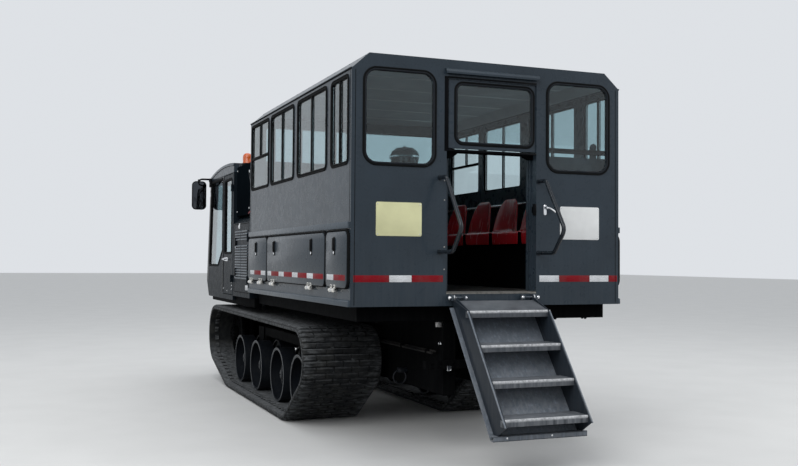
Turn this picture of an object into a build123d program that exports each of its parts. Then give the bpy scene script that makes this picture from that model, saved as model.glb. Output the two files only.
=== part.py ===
from build123d import *
from math import acos, atan2, cos, degrees, hypot, pi, radians, sin
import os

os.makedirs("parts", exist_ok=True)

# A tracked carrier that takes passengers over soft ground: two rubber tracks on sprung
# wheel pairs, a driver's cab in front, an engine bay behind it and a passenger cabin with
# lockers, wall seats and folding rear stairs. Millimetres, X right, Y forward, Z up.

# Passenger cabin
rear_face = -2445          # outer face of the rear wall
cabin_length = 3240
half_width = 1144          # middle plane to the side skin
skirt_bottom = 1117
floor_top = 1217
eaves = 2857               # top of the side walls
roof_top = 2978
roof_slope_run = 136       # how far the sloped roof edge runs inwards
wall = 45
floor_plate = 32
floor_bearer = 90          # bearers under the floor, over the rails
edge_bearer = 60           # and along the side walls
roof_skin = 40
end_wall = 50
jamb_depth = 95            # door posts reach this far in from the rear face
seat_gap = 0.3             # clearance of a piece that lies in or on another
swing_gap = 8              # clearance of a piece that moves

# Windows
side_sill = 2170
side_head = 2815
side_windows = (           # distance ahead of the rear face: start, end; cross bar height
    (70, 475, 0),
    (605, 1435, 0),
    (1570, 2370, 0),
    (2470, 3180, 2480),
)
side_corner = 45
rear_window = (484, 1044, 2165, 2868)        # inner edge, outer edge, bottom, top
front_window = (80, 1000, 2200, 2840)        # inner edge, outer edge, bottom, top
rear_corner = 95
seal_lip = 14              # seal over the skin around a hole
seal_inset = 16            # seal inside the hole
seal_stand = 6             # seal proud of the skin
seal_depth = 26
glass_thickness = 6
glass_in = 8               # glass behind the skin
mullion = 26

# Rear entry
door_half = 385            # half the opening's width
door_head = 2835
transom_bottom = 2310
transom_gap = 20           # open slit on the transom's left side
transom_recess = 12
transom_thickness = 30
transom_window = (-305, 359, 2348, 2808)     # left edge, right edge, bottom, top
transom_corner = 60
cap_half = 400
cap_bottom = 2870
cap_profile = (            # stands off the wall, height over the cap's foot
    (0, 43), (20, 34), (34, 15), (34, 0), (26, 0), (19, 24), (0, 30),
)
stop_lips = (              # edges of the posts' lips that the sliding door shuts on
    (-385, -340),
    (373, 385),
)
stop_lip_depth = 18
leaf_width = 723
leaf_thickness = 36
leaf_bottom = 1226
leaf_top = 2296
leaf_rear = 101            # rear side of the sliding door, ahead of the rear face
leaf_right = 1093          # its right edge when it is open
track_bar_height = 40
track_bar_thickness = 8
track_bar_bottom = 2326
track_bar_end = 420        # left end of the overhead bar, from the middle plane
bar_feet = (               # middle of each foot of the bar, what it stands on
    (-403, jamb_depth),
    (450, end_wall),
    (1073, end_wall),
)
bar_foot_size = (30, 24)   # width and height of a foot
roller_radius = 26
roller_inset = 110         # from the door's edges
roller_strap = (60, 8)
header_bar = (52, 76, 2278, 2306)            # start, end ahead of the rear face, bottom, top
header_brackets = (        # side, length, height of the brackets at the bar's ends
    (-1, 120, 42),
    (1, 100, 25),
)
jamb_width = 35

# Lockers along both sides, under the belt rail
belt_bottom = 1690
belt_height = 45
belt_stand = 14
locker_bottom = 1252
locker_top = 1668
locker_corner = 55
lockers = (                # name, start and end ahead of the rear face, hinge places
    ("rear", 23, 530, (335,)),
    ("middle", 570, 2410, (967, 2180)),
    ("front", 2440, 3210, (2665, 3060)),
)
locker_leaf = 22           # the doors stand proud of the wall
locker_lap = 26            # the door laps the wall by this much around the way in
locker_depth = 455
locker_skin = 15
locker_box_top = 1600
locker_box_start = 165     # leaves room for the sliding door
hinge_height = 1230
hinge_radius = 17
hinge_length = 96
hinge_fixed = 40           # middle barrel, held by the wall
hinge_link = 24            # height of the links between the outer barrels and the door
hinge_bracket = 8
hinge_stand = 29           # hinge axis outside the skin

# Wall seats
seat_starts = (150, 695, 1240, 1785, 2330)   # rear edge of each seat ahead of the rear face
seat_width = 486
seat_front = 600           # middle plane to the seat's front edge
seat_back_foot = 895
seat_back_top_out = 955
seat_height = 1717
seat_top = 2048
seat_shell = 26
seat_foot = 30             # the front skirt's depth at its foot
seat_lip = (22, 16)        # bevel along the front edge
seat_dip = 18              # the seat's hollow under its front edge
seat_taper = 95            # the back narrows by this much on each side
seat_shoulder = 1745       # where the back begins to narrow
seat_round = 85
rail_radius = 13
rail_height = 2000
rail_out = 1040
rail_stop = 200            # rail's rear end ahead of the rear face
rail_bracket = 20

# Grab handles and folding stairs
handle_outs = (-440, 405)
handle_radius = 16
handle_route = ((0, 2080), (-112, 2080), (-392, 1695), (-237, 1522), (0, 1522))  # y, z
handle_bend = 55
handle_foot_radius = 20
handle_foot = 6
stair_half = 335
stair_plate = 10
stair_pivot_back = 34      # pivot behind the rear face
stair_pivot_height = 1180
stair_lug = 25             # radius of the stair sides around the pivot
stair_pin = 10
stair_pin_fit = 0.1
stair_bracket = 10
stair_depth = 200
stair_flange = 34          # flanges of the stair sides, outwards
stair_flange_plate = 8
stair_run = 183            # from one nosing to the next
stair_rise = 234
first_nosing = (-285, 1094)                  # y behind the rear face, z
step_count = 4
step_depth = 190
landing_depth = 236        # top step
step_plate = 6
nosing_height = 52
stair_tail = 60            # the sides reach this far past the last nosing
stair_crest = 150          # crest of the sides behind the pivot
foot_bar = 45
stair_foot_set = 60
stair_foot_depth = 100

# Tracks: the belt runs round two raised end wheels and four road wheels
track_centre = 787
track_width = 710
belt_thickness = 38
lug_height = 19
lug_width = 90
lug_tip = 78
lug_count = 88
horn_height = 62
horn_width = 54
horn_length = 46
horn_slope = 78            # degrees
sprocket_ahead = 5130
sprocket_height = 555
sprocket_radius = 293      # inner side of the belt
idler_ahead = 1505
idler_height = 592
idler_radius = 238
road_wheel_radius = 265
road_wheels_ahead = (1965, 2725, 3625, 4400)
tread_half = 40            # half the gap between a wheel pair's two rims
rim_width = 150
rim_skin = 14
rim_lip = (10, 24)         # lip at the rim's outer edge: across, down
dish_skin = 9
dish_rim = 34              # outer side of the dish at the rim, from the tread's inner edge
dish_hub = 84              # and at the hub
dish_flat = 46             # flat rings at the dish's foot and head
hub_radius = 62
hub_set = 48               # hub's end, in from the rim's edge
hub_bevel = 14
axle_radius = 44
sprocket_ring = (30, 90)   # across, down
sprocket_pins = (10, 26)   # count, radius of the pockets for them
sprocket_holes = (8, 16, 125)                # count, radius, down from the rim
sprocket_hub = (30, 60)    # larger than a wheel's hub: radius, length outwards
bogie_thickness = 50
bogie_eye = 68
bogie_boss = 60
bogie_pivot_height = 455
frame_bottom = 620
frame_height = 90
frame_width = 56
frame_clear = 60           # from the idler's rim to the beam
hanger_thickness = 14
hanger_half = 120
hanger_eye = 55
fork_half = 45
fork_eye = 82

# Chassis
rail_middle = 300          # main rail, out from the middle plane
rail_width = 100
rail_bottom = 430
rail_top = 800             # a second rail lies on the rear part, up to the deck beams
rail_start = 120
rail_step = 4115           # where the upper rail ends, ahead of the rear face
rail_end = 5520
cross_radius = 45
drive_radius = 122
deck_beam_bottom = 1005
deck_beam_width = 70
deck_beam_half = 1000
deck_sill = 60             # width of the sills along the deck beams' ends
deck_beams_ahead = (130, 830, 1620, 2410, 3130)
bay_beams_ahead = (3340, 4080)
post_width = 90            # posts under the cab and pads under the engine
cab_posts_ahead = (4300, 5350)
rear_bar_half = 520
rear_bar = (60, 120, 640, 700)               # start, end ahead of the rear face, bottom, top
hitch_plate = 20
hitch_gap = 60
hitch_half = 75
hitch_reach = 150          # from the rear bar to the plates' rear end
hitch_bore = 16

# Engine bay
bay_start = 3300
bay_end = 4120
bay_bottom = 1050
bay_eaves = 1850
bay_top = 1930
bay_slope_run = 90
bay_skin = 25
bay_door = (3345, 4060, 1105, 1835)          # start, end ahead of the rear face, bottom, top
bay_door_skin = 30
louvres = (                # bottom slot's height, count
    (1246, 13),
    (1664, 4),
)
louvre_pitch = 29
louvre_length = 290
louvre_gap = 13
louvre_columns = (-155, 155)                 # middles, from the door's middle
bay_post = 40              # edge of the hood around the door ways
engine = (1040, 620, 800)                    # across, along, up
engine_ahead = 3710
engine_bottom = 1014
engine_feet_ahead = (3500, 3920)
cooler = (900, 800, 560)                     # box on the bay's roof: across, along, up
cooler_out = -650
cooler_ahead = 3710
cleaner_out = 760
cleaner_ahead = 3700
cleaner_radius = 168
cleaner_top = 2766
cleaner_neck = 80
cleaner_bowl = (           # in from the largest radius, down from the top
    (88, 260), (30, 240), (10, 170), (0, 100), (18, 55), (70, 15),
)
beacon_out = -1014
beacon_ahead = 3975
beacon_profile = (         # radius, height over the cooler box
    (64, 0), (64, 34), (54, 38), (54, 100), (45, 130), (26, 147), (0, 151),
)

# Swing hinges of the cab and engine doors: a moving knuckle stands on a fixed one
knuckle_radius = 11
knuckle_length = 40
knuckle_out = 17           # hinge axis outside the skin
knuckle_strap = 6
knuckle_reach = 70         # strap over the leaf
cab_hinge = (4160, (1200, 2220))             # axis ahead of the rear face, feet of the hinges
bay_hinge = (3333, (1200, 1640))

# Driver's cab
cab_half = 1130
cab_rear = 4137
cab_roof_rear = 2540
cab_roof_crown = 2556
cab_front_top = (5517, 2475)                 # ahead of the rear face, height
cab_front_low = (5706, 1190)
cab_front_foot = (5570, 1000)
cab_skin = 40
cab_roof_joint = 2440
cab_door = (4172, 4668, 1062, 2424)          # start, end ahead of the rear face, bottom, top
cab_door_skin = 34
door_glass_margin = 55
door_glass_bottom = 1530
side_glass_corners = (     # ahead of the rear face, height
    (4740, 1560), (4740, 2405), (5440, 2405), (5565, 1385), (5000, 1385),
)
side_glass_radius = 30
screen_side = 90           # windscreen's edge, in from the cab's side
screen_bottom = 1330
screen_top = 2400
back_glass = (2010, 2400)  # rear window of the cab: bottom, top
back_glass_side = 150
glass_corner = 25
screen_set = 16            # windscreen behind the front skin
cab_glass_set = 10         # side glass behind the skin
cushion = (250, 4420, 4920, 1340, 1480)      # driver's seat: half width, start, end, bottom, top
backrest = (240, 4330, 4430, 1440, 2060)
seat_stand = (180, 4480, 4860)
dash = (500, 5290, 5520, 1280, 1480)
dash_stand = (60, 5300, 5500, 1300)
mirror_case = (180, 60, 360)                 # across, along, up
mirror_corner = 45
mirror_out = 1255
mirror_ahead = 5660
mirror_height = 2260
mirror_arm = 24
mirror_arm_ahead = 5460
bumper_depth = 200
bumper_height = 180
bumper_inset = 60          # from the cab's side
bumper_plate = 100
lamp_radius = 75
lamp_out = 900
lamp_depth = 41

front_face = rear_face + cabin_length


def save(builder, name):
    """Label a finished piece and write its file."""
    builder.part.label = name
    export_step(builder.part, "parts/" + name + ".step")


def cross_plane(y):
    """Upright plane across the machine: first X, then Z; its normal points backwards."""
    return Plane(origin=(0, y, 0), x_dir=(1, 0, 0), z_dir=(0, -1, 0))


def span(low, high, bottom, top, radius=0, mode=Mode.ADD):
    """Rectangle in the current sketch between two edges and two heights."""
    with Locations(((low + high) / 2, (bottom + top) / 2)):
        if radius:
            RectangleRounded(abs(high - low), top - bottom, radius, mode=mode)
        else:
            Rectangle(abs(high - low), top - bottom, mode=mode)


def block(x_low, x_high, y_low, y_high, z_low, z_high, mode=Mode.ADD):
    """Box between two corners, in the current piece."""
    with Locations(((x_low + x_high) / 2, (y_low + y_high) / 2, (z_low + z_high) / 2)):
        Box(abs(x_high - x_low), abs(y_high - y_low), abs(z_high - z_low), mode=mode)


sides = (("left", -1), ("right", 1))


# Tracks

loop_wheels = (            # y, z, inner radius of the belt; counted round the loop
    (rear_face + idler_ahead, idler_height, idler_radius),
    (rear_face + road_wheels_ahead[0], road_wheel_radius + belt_thickness + lug_height, road_wheel_radius),
    (rear_face + road_wheels_ahead[-1], road_wheel_radius + belt_thickness + lug_height, road_wheel_radius),
    (rear_face + sprocket_ahead, sprocket_height, sprocket_radius),
)
axle_height = road_wheel_radius + belt_thickness + lug_height


def tangent_angle(wheel, following):
    """Direction of the belt's outer normal on the straight run from one wheel to the next."""
    across = following[0] - wheel[0]
    up = following[1] - wheel[1]
    return atan2(up, across) - acos((wheel[2] - following[2]) / hypot(across, up))


def loop_runs(grow):
    """Straight runs and arcs of the loop, as (start, end) and (centre, radius, from, to)."""
    count = len(loop_wheels)
    angles = []
    for index in range(count):
        angles.append(tangent_angle(loop_wheels[index], loop_wheels[(index + 1) % count]))
    runs = []
    for index in range(count):
        y, z, inner = loop_wheels[index]
        radius = inner + grow
        begin = angles[index - 1]
        end = angles[index]
        while end < begin:
            end += 2 * pi
        runs.append(("arc", (y, z), radius, begin, end))
        next_y, next_z, next_inner = loop_wheels[(index + 1) % count]
        start = (y + radius * cos(end), z + radius * sin(end))
        stop = (next_y + (next_inner + grow) * cos(end), next_z + (next_inner + grow) * sin(end))
        runs.append(("line", start, stop, end, end))
    return runs


def loop_face(grow):
    """Face inside the loop, moved out from the belt's inner side."""
    with BuildSketch() as face:
        with BuildLine():
            for kind, first, second, begin, end in loop_runs(grow):
                if kind == "line":
                    Line(first, second)
                else:
                    CenterArc(first, second, degrees(begin), degrees(end - begin))
        make_face()
    return face.sketch


def loop_places(grow, count, shift=0.5):
    """Evenly spaced places on the loop, turned so that their own Y points outwards."""
    runs = loop_runs(grow)
    lengths = []
    for kind, first, second, begin, end in runs:
        if kind == "line":
            lengths.append(hypot(second[0] - first[0], second[1] - first[1]))
        else:
            lengths.append(second * (end - begin))
    pitch = sum(lengths) / count
    places = []
    for index in range(count):
        distance = (index + shift) * pitch
        for (kind, first, second, begin, end), length in zip(runs, lengths):
            if distance <= length:
                break
            distance -= length
        if kind == "line":
            share = distance / length
            y = first[0] + share * (second[0] - first[0])
            z = first[1] + share * (second[1] - first[1])
            angle = begin
        else:
            angle = begin + distance / second
            y = first[0] + second * cos(angle)
            z = first[1] + second * sin(angle)
        places.append(Location((y, z, 0), (0, 0, degrees(angle) - 90)))
    return places


lug_slope = degrees(atan2(lug_height, (lug_width - lug_tip) / 2))
horn_places = loop_places(0, lug_count // 2)
for side, sign in sides:
    with BuildPart() as track:
        with BuildSketch(Plane.YZ.offset(sign * track_centre - track_width / 2)):
            add(loop_face(belt_thickness))
            with Locations(*loop_places(belt_thickness, lug_count)):
                with Locations((0, -1)):
                    Trapezoid(lug_width, lug_height + 1, lug_slope, align=(Align.CENTER, Align.MIN))
            add(loop_face(0), mode=Mode.SUBTRACT)
        extrude(amount=track_width)
        with BuildSketch(Plane.YZ.offset(sign * track_centre - horn_width / 2)):
            with Locations(*horn_places):
                with Locations((0, 1)):
                    Trapezoid(horn_length, horn_height + 1, horn_slope, rotation=180,
                              align=(Align.CENTER, Align.MIN))
        extrude(amount=horn_width)
    save(track, "track_" + side)


def wheel_profile(radius):
    """Section of a dished wheel pair above its axle, across its middle plane."""
    rim_end = tread_half + rim_width
    rim_under = radius - rim_skin
    lip_across, lip_down = rim_lip
    hub_end = rim_end - hub_set
    head = tread_half + dish_rim
    foot = tread_half + dish_hub
    with BuildSketch() as profile:
        with BuildLine():
            Polyline(
                (0, 0),
                (hub_end, 0),
                (hub_end, hub_radius - hub_bevel),
                (hub_end - hub_bevel, hub_radius),
                (foot, hub_radius),
                (foot, hub_radius + dish_flat),
                (head, rim_under - dish_flat),
                (head, rim_under),
                (rim_end - lip_across, rim_under),
                (rim_end - lip_across, radius - lip_down),
                (rim_end, radius - lip_down),
                (rim_end, radius),
                (tread_half, radius),
                (tread_half, rim_under),
                (head - dish_skin, rim_under),
                (head - dish_skin, rim_under - dish_flat),
                (foot - dish_skin, hub_radius + dish_flat),
                (foot - dish_skin, axle_radius),
                (0, axle_radius),
                close=True,
            )
        make_face()
        mirror(about=Plane.YZ)
    return profile.sketch


for side, sign in sides:
    with BuildPart() as road_wheels:
        for ahead in road_wheels_ahead:
            axle = Plane(origin=(sign * track_centre, rear_face + ahead, axle_height),
                         x_dir=(1, 0, 0), z_dir=(0, -1, 0))
            with BuildSketch(axle):
                add(wheel_profile(road_wheel_radius - seat_gap))
            revolve(axis=Axis(axle.origin, (1, 0, 0)))
    save(road_wheels, "road_wheels_" + side)

    with BuildPart() as idler:
        axle = Plane(origin=(sign * track_centre, rear_face + idler_ahead, idler_height),
                     x_dir=(1, 0, 0), z_dir=(0, -1, 0))
        with BuildSketch(axle):
            add(wheel_profile(idler_radius - seat_gap))
        revolve(axis=Axis(axle.origin, (1, 0, 0)))
    save(idler, "idler_" + side)

    # sprocket: two rings with pockets for the drive bars, on one drum
    sprocket_y = rear_face + sprocket_ahead
    ring_across, ring_down = sprocket_ring
    drum_half = tread_half + ring_across
    pin_count, pin_radius = sprocket_pins
    hole_count, hole_radius, hole_down = sprocket_holes
    hub_more, hub_out = sprocket_hub
    with BuildPart() as sprocket:
        for low in (tread_half, -drum_half):
            with BuildSketch(Plane.YZ.offset(sign * track_centre + low)):
                with Locations((sprocket_y, sprocket_height)):
                    Circle(sprocket_radius - seat_gap)
                    Circle(sprocket_radius - ring_down, mode=Mode.SUBTRACT)
                    with PolarLocations(sprocket_radius, pin_count, start_angle=180 / pin_count):
                        Circle(pin_radius, mode=Mode.SUBTRACT)
            extrude(amount=ring_across)
        with BuildSketch(Plane.YZ.offset(sign * track_centre - drum_half)):
            with Locations((sprocket_y, sprocket_height)):
                Circle(sprocket_radius - ring_down + 1)
                with PolarLocations(sprocket_radius - hole_down, hole_count):
                    Circle(hole_radius, mode=Mode.SUBTRACT)
        extrude(amount=2 * drum_half)
        with BuildSketch(Plane.YZ.offset(sign * track_centre)):
            with Locations((sprocket_y, sprocket_height)):
                Circle(hub_radius + hub_more)
        extrude(amount=sign * (drum_half + hub_out))
    save(sprocket, "sprocket_" + side)

# Track frames: a beam over the wheels, hangers, and a rocking beam for each wheel pair

pair_middles = (
    (road_wheels_ahead[0] + road_wheels_ahead[1]) / 2,
    (road_wheels_ahead[2] + road_wheels_ahead[3]) / 2,
)
frame_middle = frame_bottom + frame_height / 2
beam_start = idler_ahead + idler_radius + frame_clear
hanger_gap = bogie_thickness / 2 + seat_gap
for side, sign in sides:
    centre = sign * track_centre
    with BuildPart() as track_frame:
        block(centre - frame_width / 2, centre + frame_width / 2,
              rear_face + beam_start, rear_face + pair_middles[1] + hanger_half,
              frame_bottom, frame_bottom + frame_height)
        for middle in pair_middles:
            for cheek in (-1, 1):
                with BuildSketch(Plane.YZ.offset(centre + cheek * hanger_gap)):
                    with Locations((rear_face + middle, frame_middle)):
                        Rectangle(2 * hanger_half, frame_height)
                    with Locations((rear_face + middle, bogie_pivot_height)):
                        Circle(hanger_eye)
                    make_hull()
                extrude(amount=cheek * hanger_thickness)
        # fork that carries the rear idler on its axle
        for cheek in (-1, 1):
            with BuildSketch(Plane.YZ.offset(centre + cheek * hanger_gap)):
                with Locations((rear_face + idler_ahead, idler_height)):
                    Circle(fork_eye)
                with Locations((rear_face + beam_start + fork_half, frame_middle)):
                    Circle(fork_half)
                make_hull()
                with Locations((rear_face + idler_ahead, idler_height)):
                    Circle(axle_radius + seat_gap, mode=Mode.SUBTRACT)
            extrude(amount=cheek * hanger_thickness)
    save(track_frame, "track_frame_" + side)

    with BuildPart() as bogies:
        for first, second in ((0, 1), (2, 3)):
            rear_hub = rear_face + road_wheels_ahead[first]
            front_hub = rear_face + road_wheels_ahead[second]
            with BuildSketch(Plane.YZ.offset(centre - bogie_thickness / 2)):
                with Locations((rear_hub, axle_height), (front_hub, axle_height)):
                    Circle(bogie_eye)
                with Locations(((rear_hub + front_hub) / 2, bogie_pivot_height)):
                    Circle(bogie_boss)
                make_hull()
                with Locations((rear_hub, axle_height), (front_hub, axle_height)):
                    Circle(axle_radius + seat_gap, mode=Mode.SUBTRACT)
            extrude(amount=bogie_thickness)
    save(bogies, "bogies_" + side)

# Chassis

hitch_pin_y = rear_face + rear_bar[1] - hitch_reach
with BuildPart() as chassis:
    # every beam is a solid of its own, set against the next one
    for sign in (-1, 1):
        for end, bottom, top in (
            (rail_end, rail_bottom, rail_top - seat_gap),
            (rail_step, rail_top, deck_beam_bottom - seat_gap),
        ):
            block(sign * (rail_middle - rail_width / 2), sign * (rail_middle + rail_width / 2),
                  rear_face + rail_start + seat_gap, rear_face + end, bottom, top)
        block(sign * (deck_beam_half + seat_gap), sign * (deck_beam_half + deck_sill),
              rear_face + deck_beams_ahead[0] - deck_beam_width / 2,
              rear_face + deck_beams_ahead[-1] + deck_beam_width / 2,
              deck_beam_bottom, skirt_bottom)
    for beams, top in ((deck_beams_ahead, skirt_bottom), (bay_beams_ahead, bay_bottom)):
        for ahead in beams:
            block(-deck_beam_half, deck_beam_half,
                  rear_face + ahead - deck_beam_width / 2, rear_face + ahead + deck_beam_width / 2,
                  deck_beam_bottom, top)
    # cross tubes and the drive's tube, in pieces between and outside the rails
    between_rails = rail_middle - rail_width / 2 - seat_gap
    beside_rails = rail_middle + rail_width / 2 + seat_gap
    tube_reach = track_centre - hanger_gap - hanger_thickness - seat_gap
    drive_reach = track_centre - drum_half - seat_gap
    tubes = [(rear_face + middle, frame_middle, cross_radius, tube_reach) for middle in pair_middles]
    tubes.append((sprocket_y, sprocket_height, drive_radius, drive_reach))
    for y, z, radius, reach in tubes:
        for low, high in (
            (-reach, -beside_rails),
            (-between_rails, between_rails),
            (beside_rails, reach),
        ):
            with BuildSketch(Plane.YZ.offset(low)):
                with Locations((y, z)):
                    Circle(radius)
            extrude(amount=high - low)
    # pads under the engine and posts under the cab, set on the rails
    for sign in (-1, 1):
        for ahead in engine_feet_ahead:
            block(sign * (rail_middle - post_width / 2), sign * (rail_middle + post_width / 2),
                  rear_face + ahead - post_width / 2, rear_face + ahead + post_width / 2,
                  deck_beam_bottom, engine_bottom)
        for ahead in cab_posts_ahead:
            block(sign * (rail_middle - post_width / 2), sign * (rail_middle + post_width / 2),
                  rear_face + ahead - post_width / 2, rear_face + ahead + post_width / 2,
                  rail_top, cab_front_foot[1])
    # rear cross bar with a towing clevis
    bar_start, bar_end, bar_bottom, bar_top = rear_bar
    block(-rear_bar_half, rear_bar_half, rear_face + bar_start, rear_face + bar_end,
          bar_bottom, bar_top)
    hitch_middle = (bar_bottom + bar_top) / 2
    for low in (hitch_middle - hitch_gap / 2 - hitch_plate, hitch_middle + hitch_gap / 2):
        with BuildSketch(Plane.XY.offset(low)):
            with Locations((0, rear_face + bar_end - hitch_reach / 2)):
                Rectangle(2 * hitch_half, hitch_reach)
            with Locations((0, hitch_pin_y)):
                Circle(hitch_half)
                Circle(hitch_bore, mode=Mode.SUBTRACT)
        extrude(amount=hitch_plate)
save(chassis, "chassis_frame")

# Passenger cabin

slope_rise = roof_top - eaves
slope_length = hypot(roof_slope_run, slope_rise)
skin_across = roof_skin * slope_length / slope_rise
inner_top = roof_top - roof_skin
inner_foot = half_width - skin_across
inner_corner = inner_foot - (inner_top - eaves) * roof_slope_run / slope_rise

with BuildPart() as cabin_roof:
    with BuildSketch(cross_plane(rear_face)):
        with BuildLine():
            Polyline(
                (-half_width, eaves),
                (-half_width + roof_slope_run, roof_top),
                (half_width - roof_slope_run, roof_top),
                (half_width, eaves),
                (inner_foot, eaves),
                (inner_corner, inner_top),
                (-inner_corner, inner_top),
                (-inner_foot, eaves),
                close=True,
            )
        make_face()
    extrude(amount=-cabin_length)
save(cabin_roof, "cabin_roof")


def end_outline():
    """Outline of an end wall, between the side walls and under the roof."""
    inside = half_width - wall
    with BuildSketch() as outline:
        with BuildLine():
            Polyline(
                (-inside, skirt_bottom),
                (inside, skirt_bottom),
                (inside, eaves),
                (inner_foot, eaves),
                (inner_corner, inner_top),
                (-inner_corner, inner_top),
                (-inner_foot, eaves),
                (-inside, eaves),
                close=True,
            )
        make_face()
    return outline.sketch


with BuildPart() as cabin_wall_rear:
    with BuildSketch(cross_plane(rear_face)):
        add(end_outline())
        inner, outer, bottom, top = rear_window
        span(inner, outer, bottom, top, rear_corner, Mode.SUBTRACT)
        span(-outer, -inner, bottom, top, rear_corner, Mode.SUBTRACT)
        span(-door_half, door_half, floor_top, door_head, 0, Mode.SUBTRACT)
    extrude(amount=-end_wall)
    for sign in (-1, 1):
        block(sign * door_half, sign * (door_half + jamb_width), rear_face + end_wall,
              rear_face + jamb_depth, floor_top, door_head)
    for low, high in stop_lips:
        block(low, high, rear_face + jamb_depth - stop_lip_depth, rear_face + jamb_depth,
              floor_top, transom_bottom)
    # rolled drip cap over the door
    with BuildSketch(Plane.YZ.offset(-cap_half)):
        with BuildLine():
            rim = [(rear_face - stand, cap_bottom + up) for stand, up in cap_profile]
            Polyline(*rim, close=True)
        make_face()
    extrude(amount=2 * cap_half)
save(cabin_wall_rear, "cabin_wall_rear")

with BuildPart() as cabin_wall_front:
    with BuildSketch(cross_plane(front_face)):
        add(end_outline())
        inner, outer, bottom, top = front_window
        span(inner, outer, bottom, top, side_corner, Mode.SUBTRACT)
        span(-outer, -inner, bottom, top, side_corner, Mode.SUBTRACT)
    extrude(amount=end_wall)
save(cabin_wall_front, "cabin_wall_front")

# ways into the lockers: start and end ahead of the rear face
way_bottom = locker_bottom + locker_lap
way_top = locker_box_top - locker_skin
ways = []
for name, start, end, hinges in lockers:
    ways.append((max(start + locker_lap, locker_box_start + locker_skin),
                 min(end - locker_lap, cabin_length - end_wall - locker_lap)))
post_starts = [0] + [end for start, end in ways]
post_ends = [start for start, end in ways] + [cabin_length]

for side, sign in sides:
    skin = sign * half_width
    with BuildPart() as side_wall:
        # sill, posts between the lockers, and the panel with the windows on top of them
        with BuildSketch(Plane.YZ.offset(skin)):
            span(rear_face, front_face, skirt_bottom, way_bottom)
            for start, end in zip(post_starts, post_ends):
                span(rear_face + start, rear_face + end, way_bottom + seat_gap, way_top - seat_gap)
            span(rear_face, front_face, way_top, eaves)
            for start, end, cross_bar in side_windows:
                span(rear_face + start, rear_face + end, side_sill, side_head,
                     side_corner, Mode.SUBTRACT)
        extrude(amount=-sign * wall)
        with BuildSketch(Plane.YZ.offset(skin)):
            span(rear_face, front_face, belt_bottom, belt_bottom + belt_height)
        extrude(amount=sign * belt_stand)
    save(side_wall, "cabin_wall_" + side)

inside = half_width - wall
with BuildPart() as cabin_floor:
    plate_bottom = floor_top - floor_plate
    block(-inside, inside, rear_face + end_wall, front_face - end_wall, plate_bottom, floor_top)
    for sign in (-1, 1):
        for middle, width in ((rail_middle, floor_bearer), (inside - edge_bearer / 2, edge_bearer)):
            block(sign * (middle - width / 2), sign * (middle + width / 2), rear_face + end_wall,
                  front_face - end_wall, skirt_bottom, plate_bottom)
save(cabin_floor, "cabin_floor")


def seal_ring(plane, low, high, bottom, top, radius, inward):
    """Rubber seal of one window: a lip over the skin and a ring in the hole."""
    with BuildSketch(plane) as lip:
        span(low - seal_lip, high + seal_lip, bottom - seal_lip, top + seal_lip, radius + seal_lip)
        span(low + seal_inset, high - seal_inset, bottom + seal_inset, top - seal_inset,
             max(radius - seal_inset, 12), Mode.SUBTRACT)
    extrude(lip.sketch, amount=-inward * seal_stand)
    with BuildSketch(plane) as ring:
        span(low + seat_gap, high - seat_gap, bottom + seat_gap, top - seat_gap, radius)
        span(low + seal_inset, high - seal_inset, bottom + seal_inset, top - seal_inset,
             max(radius - seal_inset, 12), Mode.SUBTRACT)
    extrude(ring.sketch, amount=inward * seal_depth)


def plate(plane, low, high, bottom, top, radius, amount):
    """Flat plate with rounded corners on a plane, added to the current piece."""
    with BuildSketch(plane) as face:
        span(low, high, bottom, top, radius)
    extrude(face.sketch, amount=amount)


def pane(plane, low, high, bottom, top, radius, inward):
    """Glass pane inside a seal."""
    plate(plane, low + seat_gap, high - seat_gap, bottom + seat_gap, top - seat_gap, radius,
          inward * glass_thickness)


end_windows = (            # plane of the skin, inward direction along its normal, edges, corner
    (cross_plane(rear_face), -1, rear_window, rear_corner),
    (cross_plane(front_face), 1, front_window, side_corner),
)
transom_plane = cross_plane(rear_face + transom_recess)
transom_left, transom_right, transom_low, transom_high = transom_window

with BuildPart() as window_seals:
    for side, sign in sides:
        skin = Plane.YZ.offset(sign * half_width)
        for start, end, cross_bar in side_windows:
            low = rear_face + start
            high = rear_face + end
            middle = (low + high) / 2
            seal_ring(skin, low, high, side_sill, side_head, side_corner, -sign)
            bar_foot = cross_bar + mullion / 2 if cross_bar else side_sill + seal_inset - 1
            plate(skin, middle - mullion / 2, middle + mullion / 2, bar_foot,
                  side_head - seal_inset + 1, 0, -sign * seal_depth)
            if cross_bar:
                plate(skin, low + seal_inset - 1, high - seal_inset + 1,
                      cross_bar - mullion / 2, cross_bar + mullion / 2, 0, -sign * seal_depth)
    for plane, inward, (inner, outer, bottom, top), radius in end_windows:
        seal_ring(plane, inner, outer, bottom, top, radius, inward)
        seal_ring(plane, -outer, -inner, bottom, top, radius, inward)
    seal_ring(transom_plane, transom_left, transom_right, transom_low, transom_high, transom_corner, -1)
save(window_seals, "window_seals")

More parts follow.
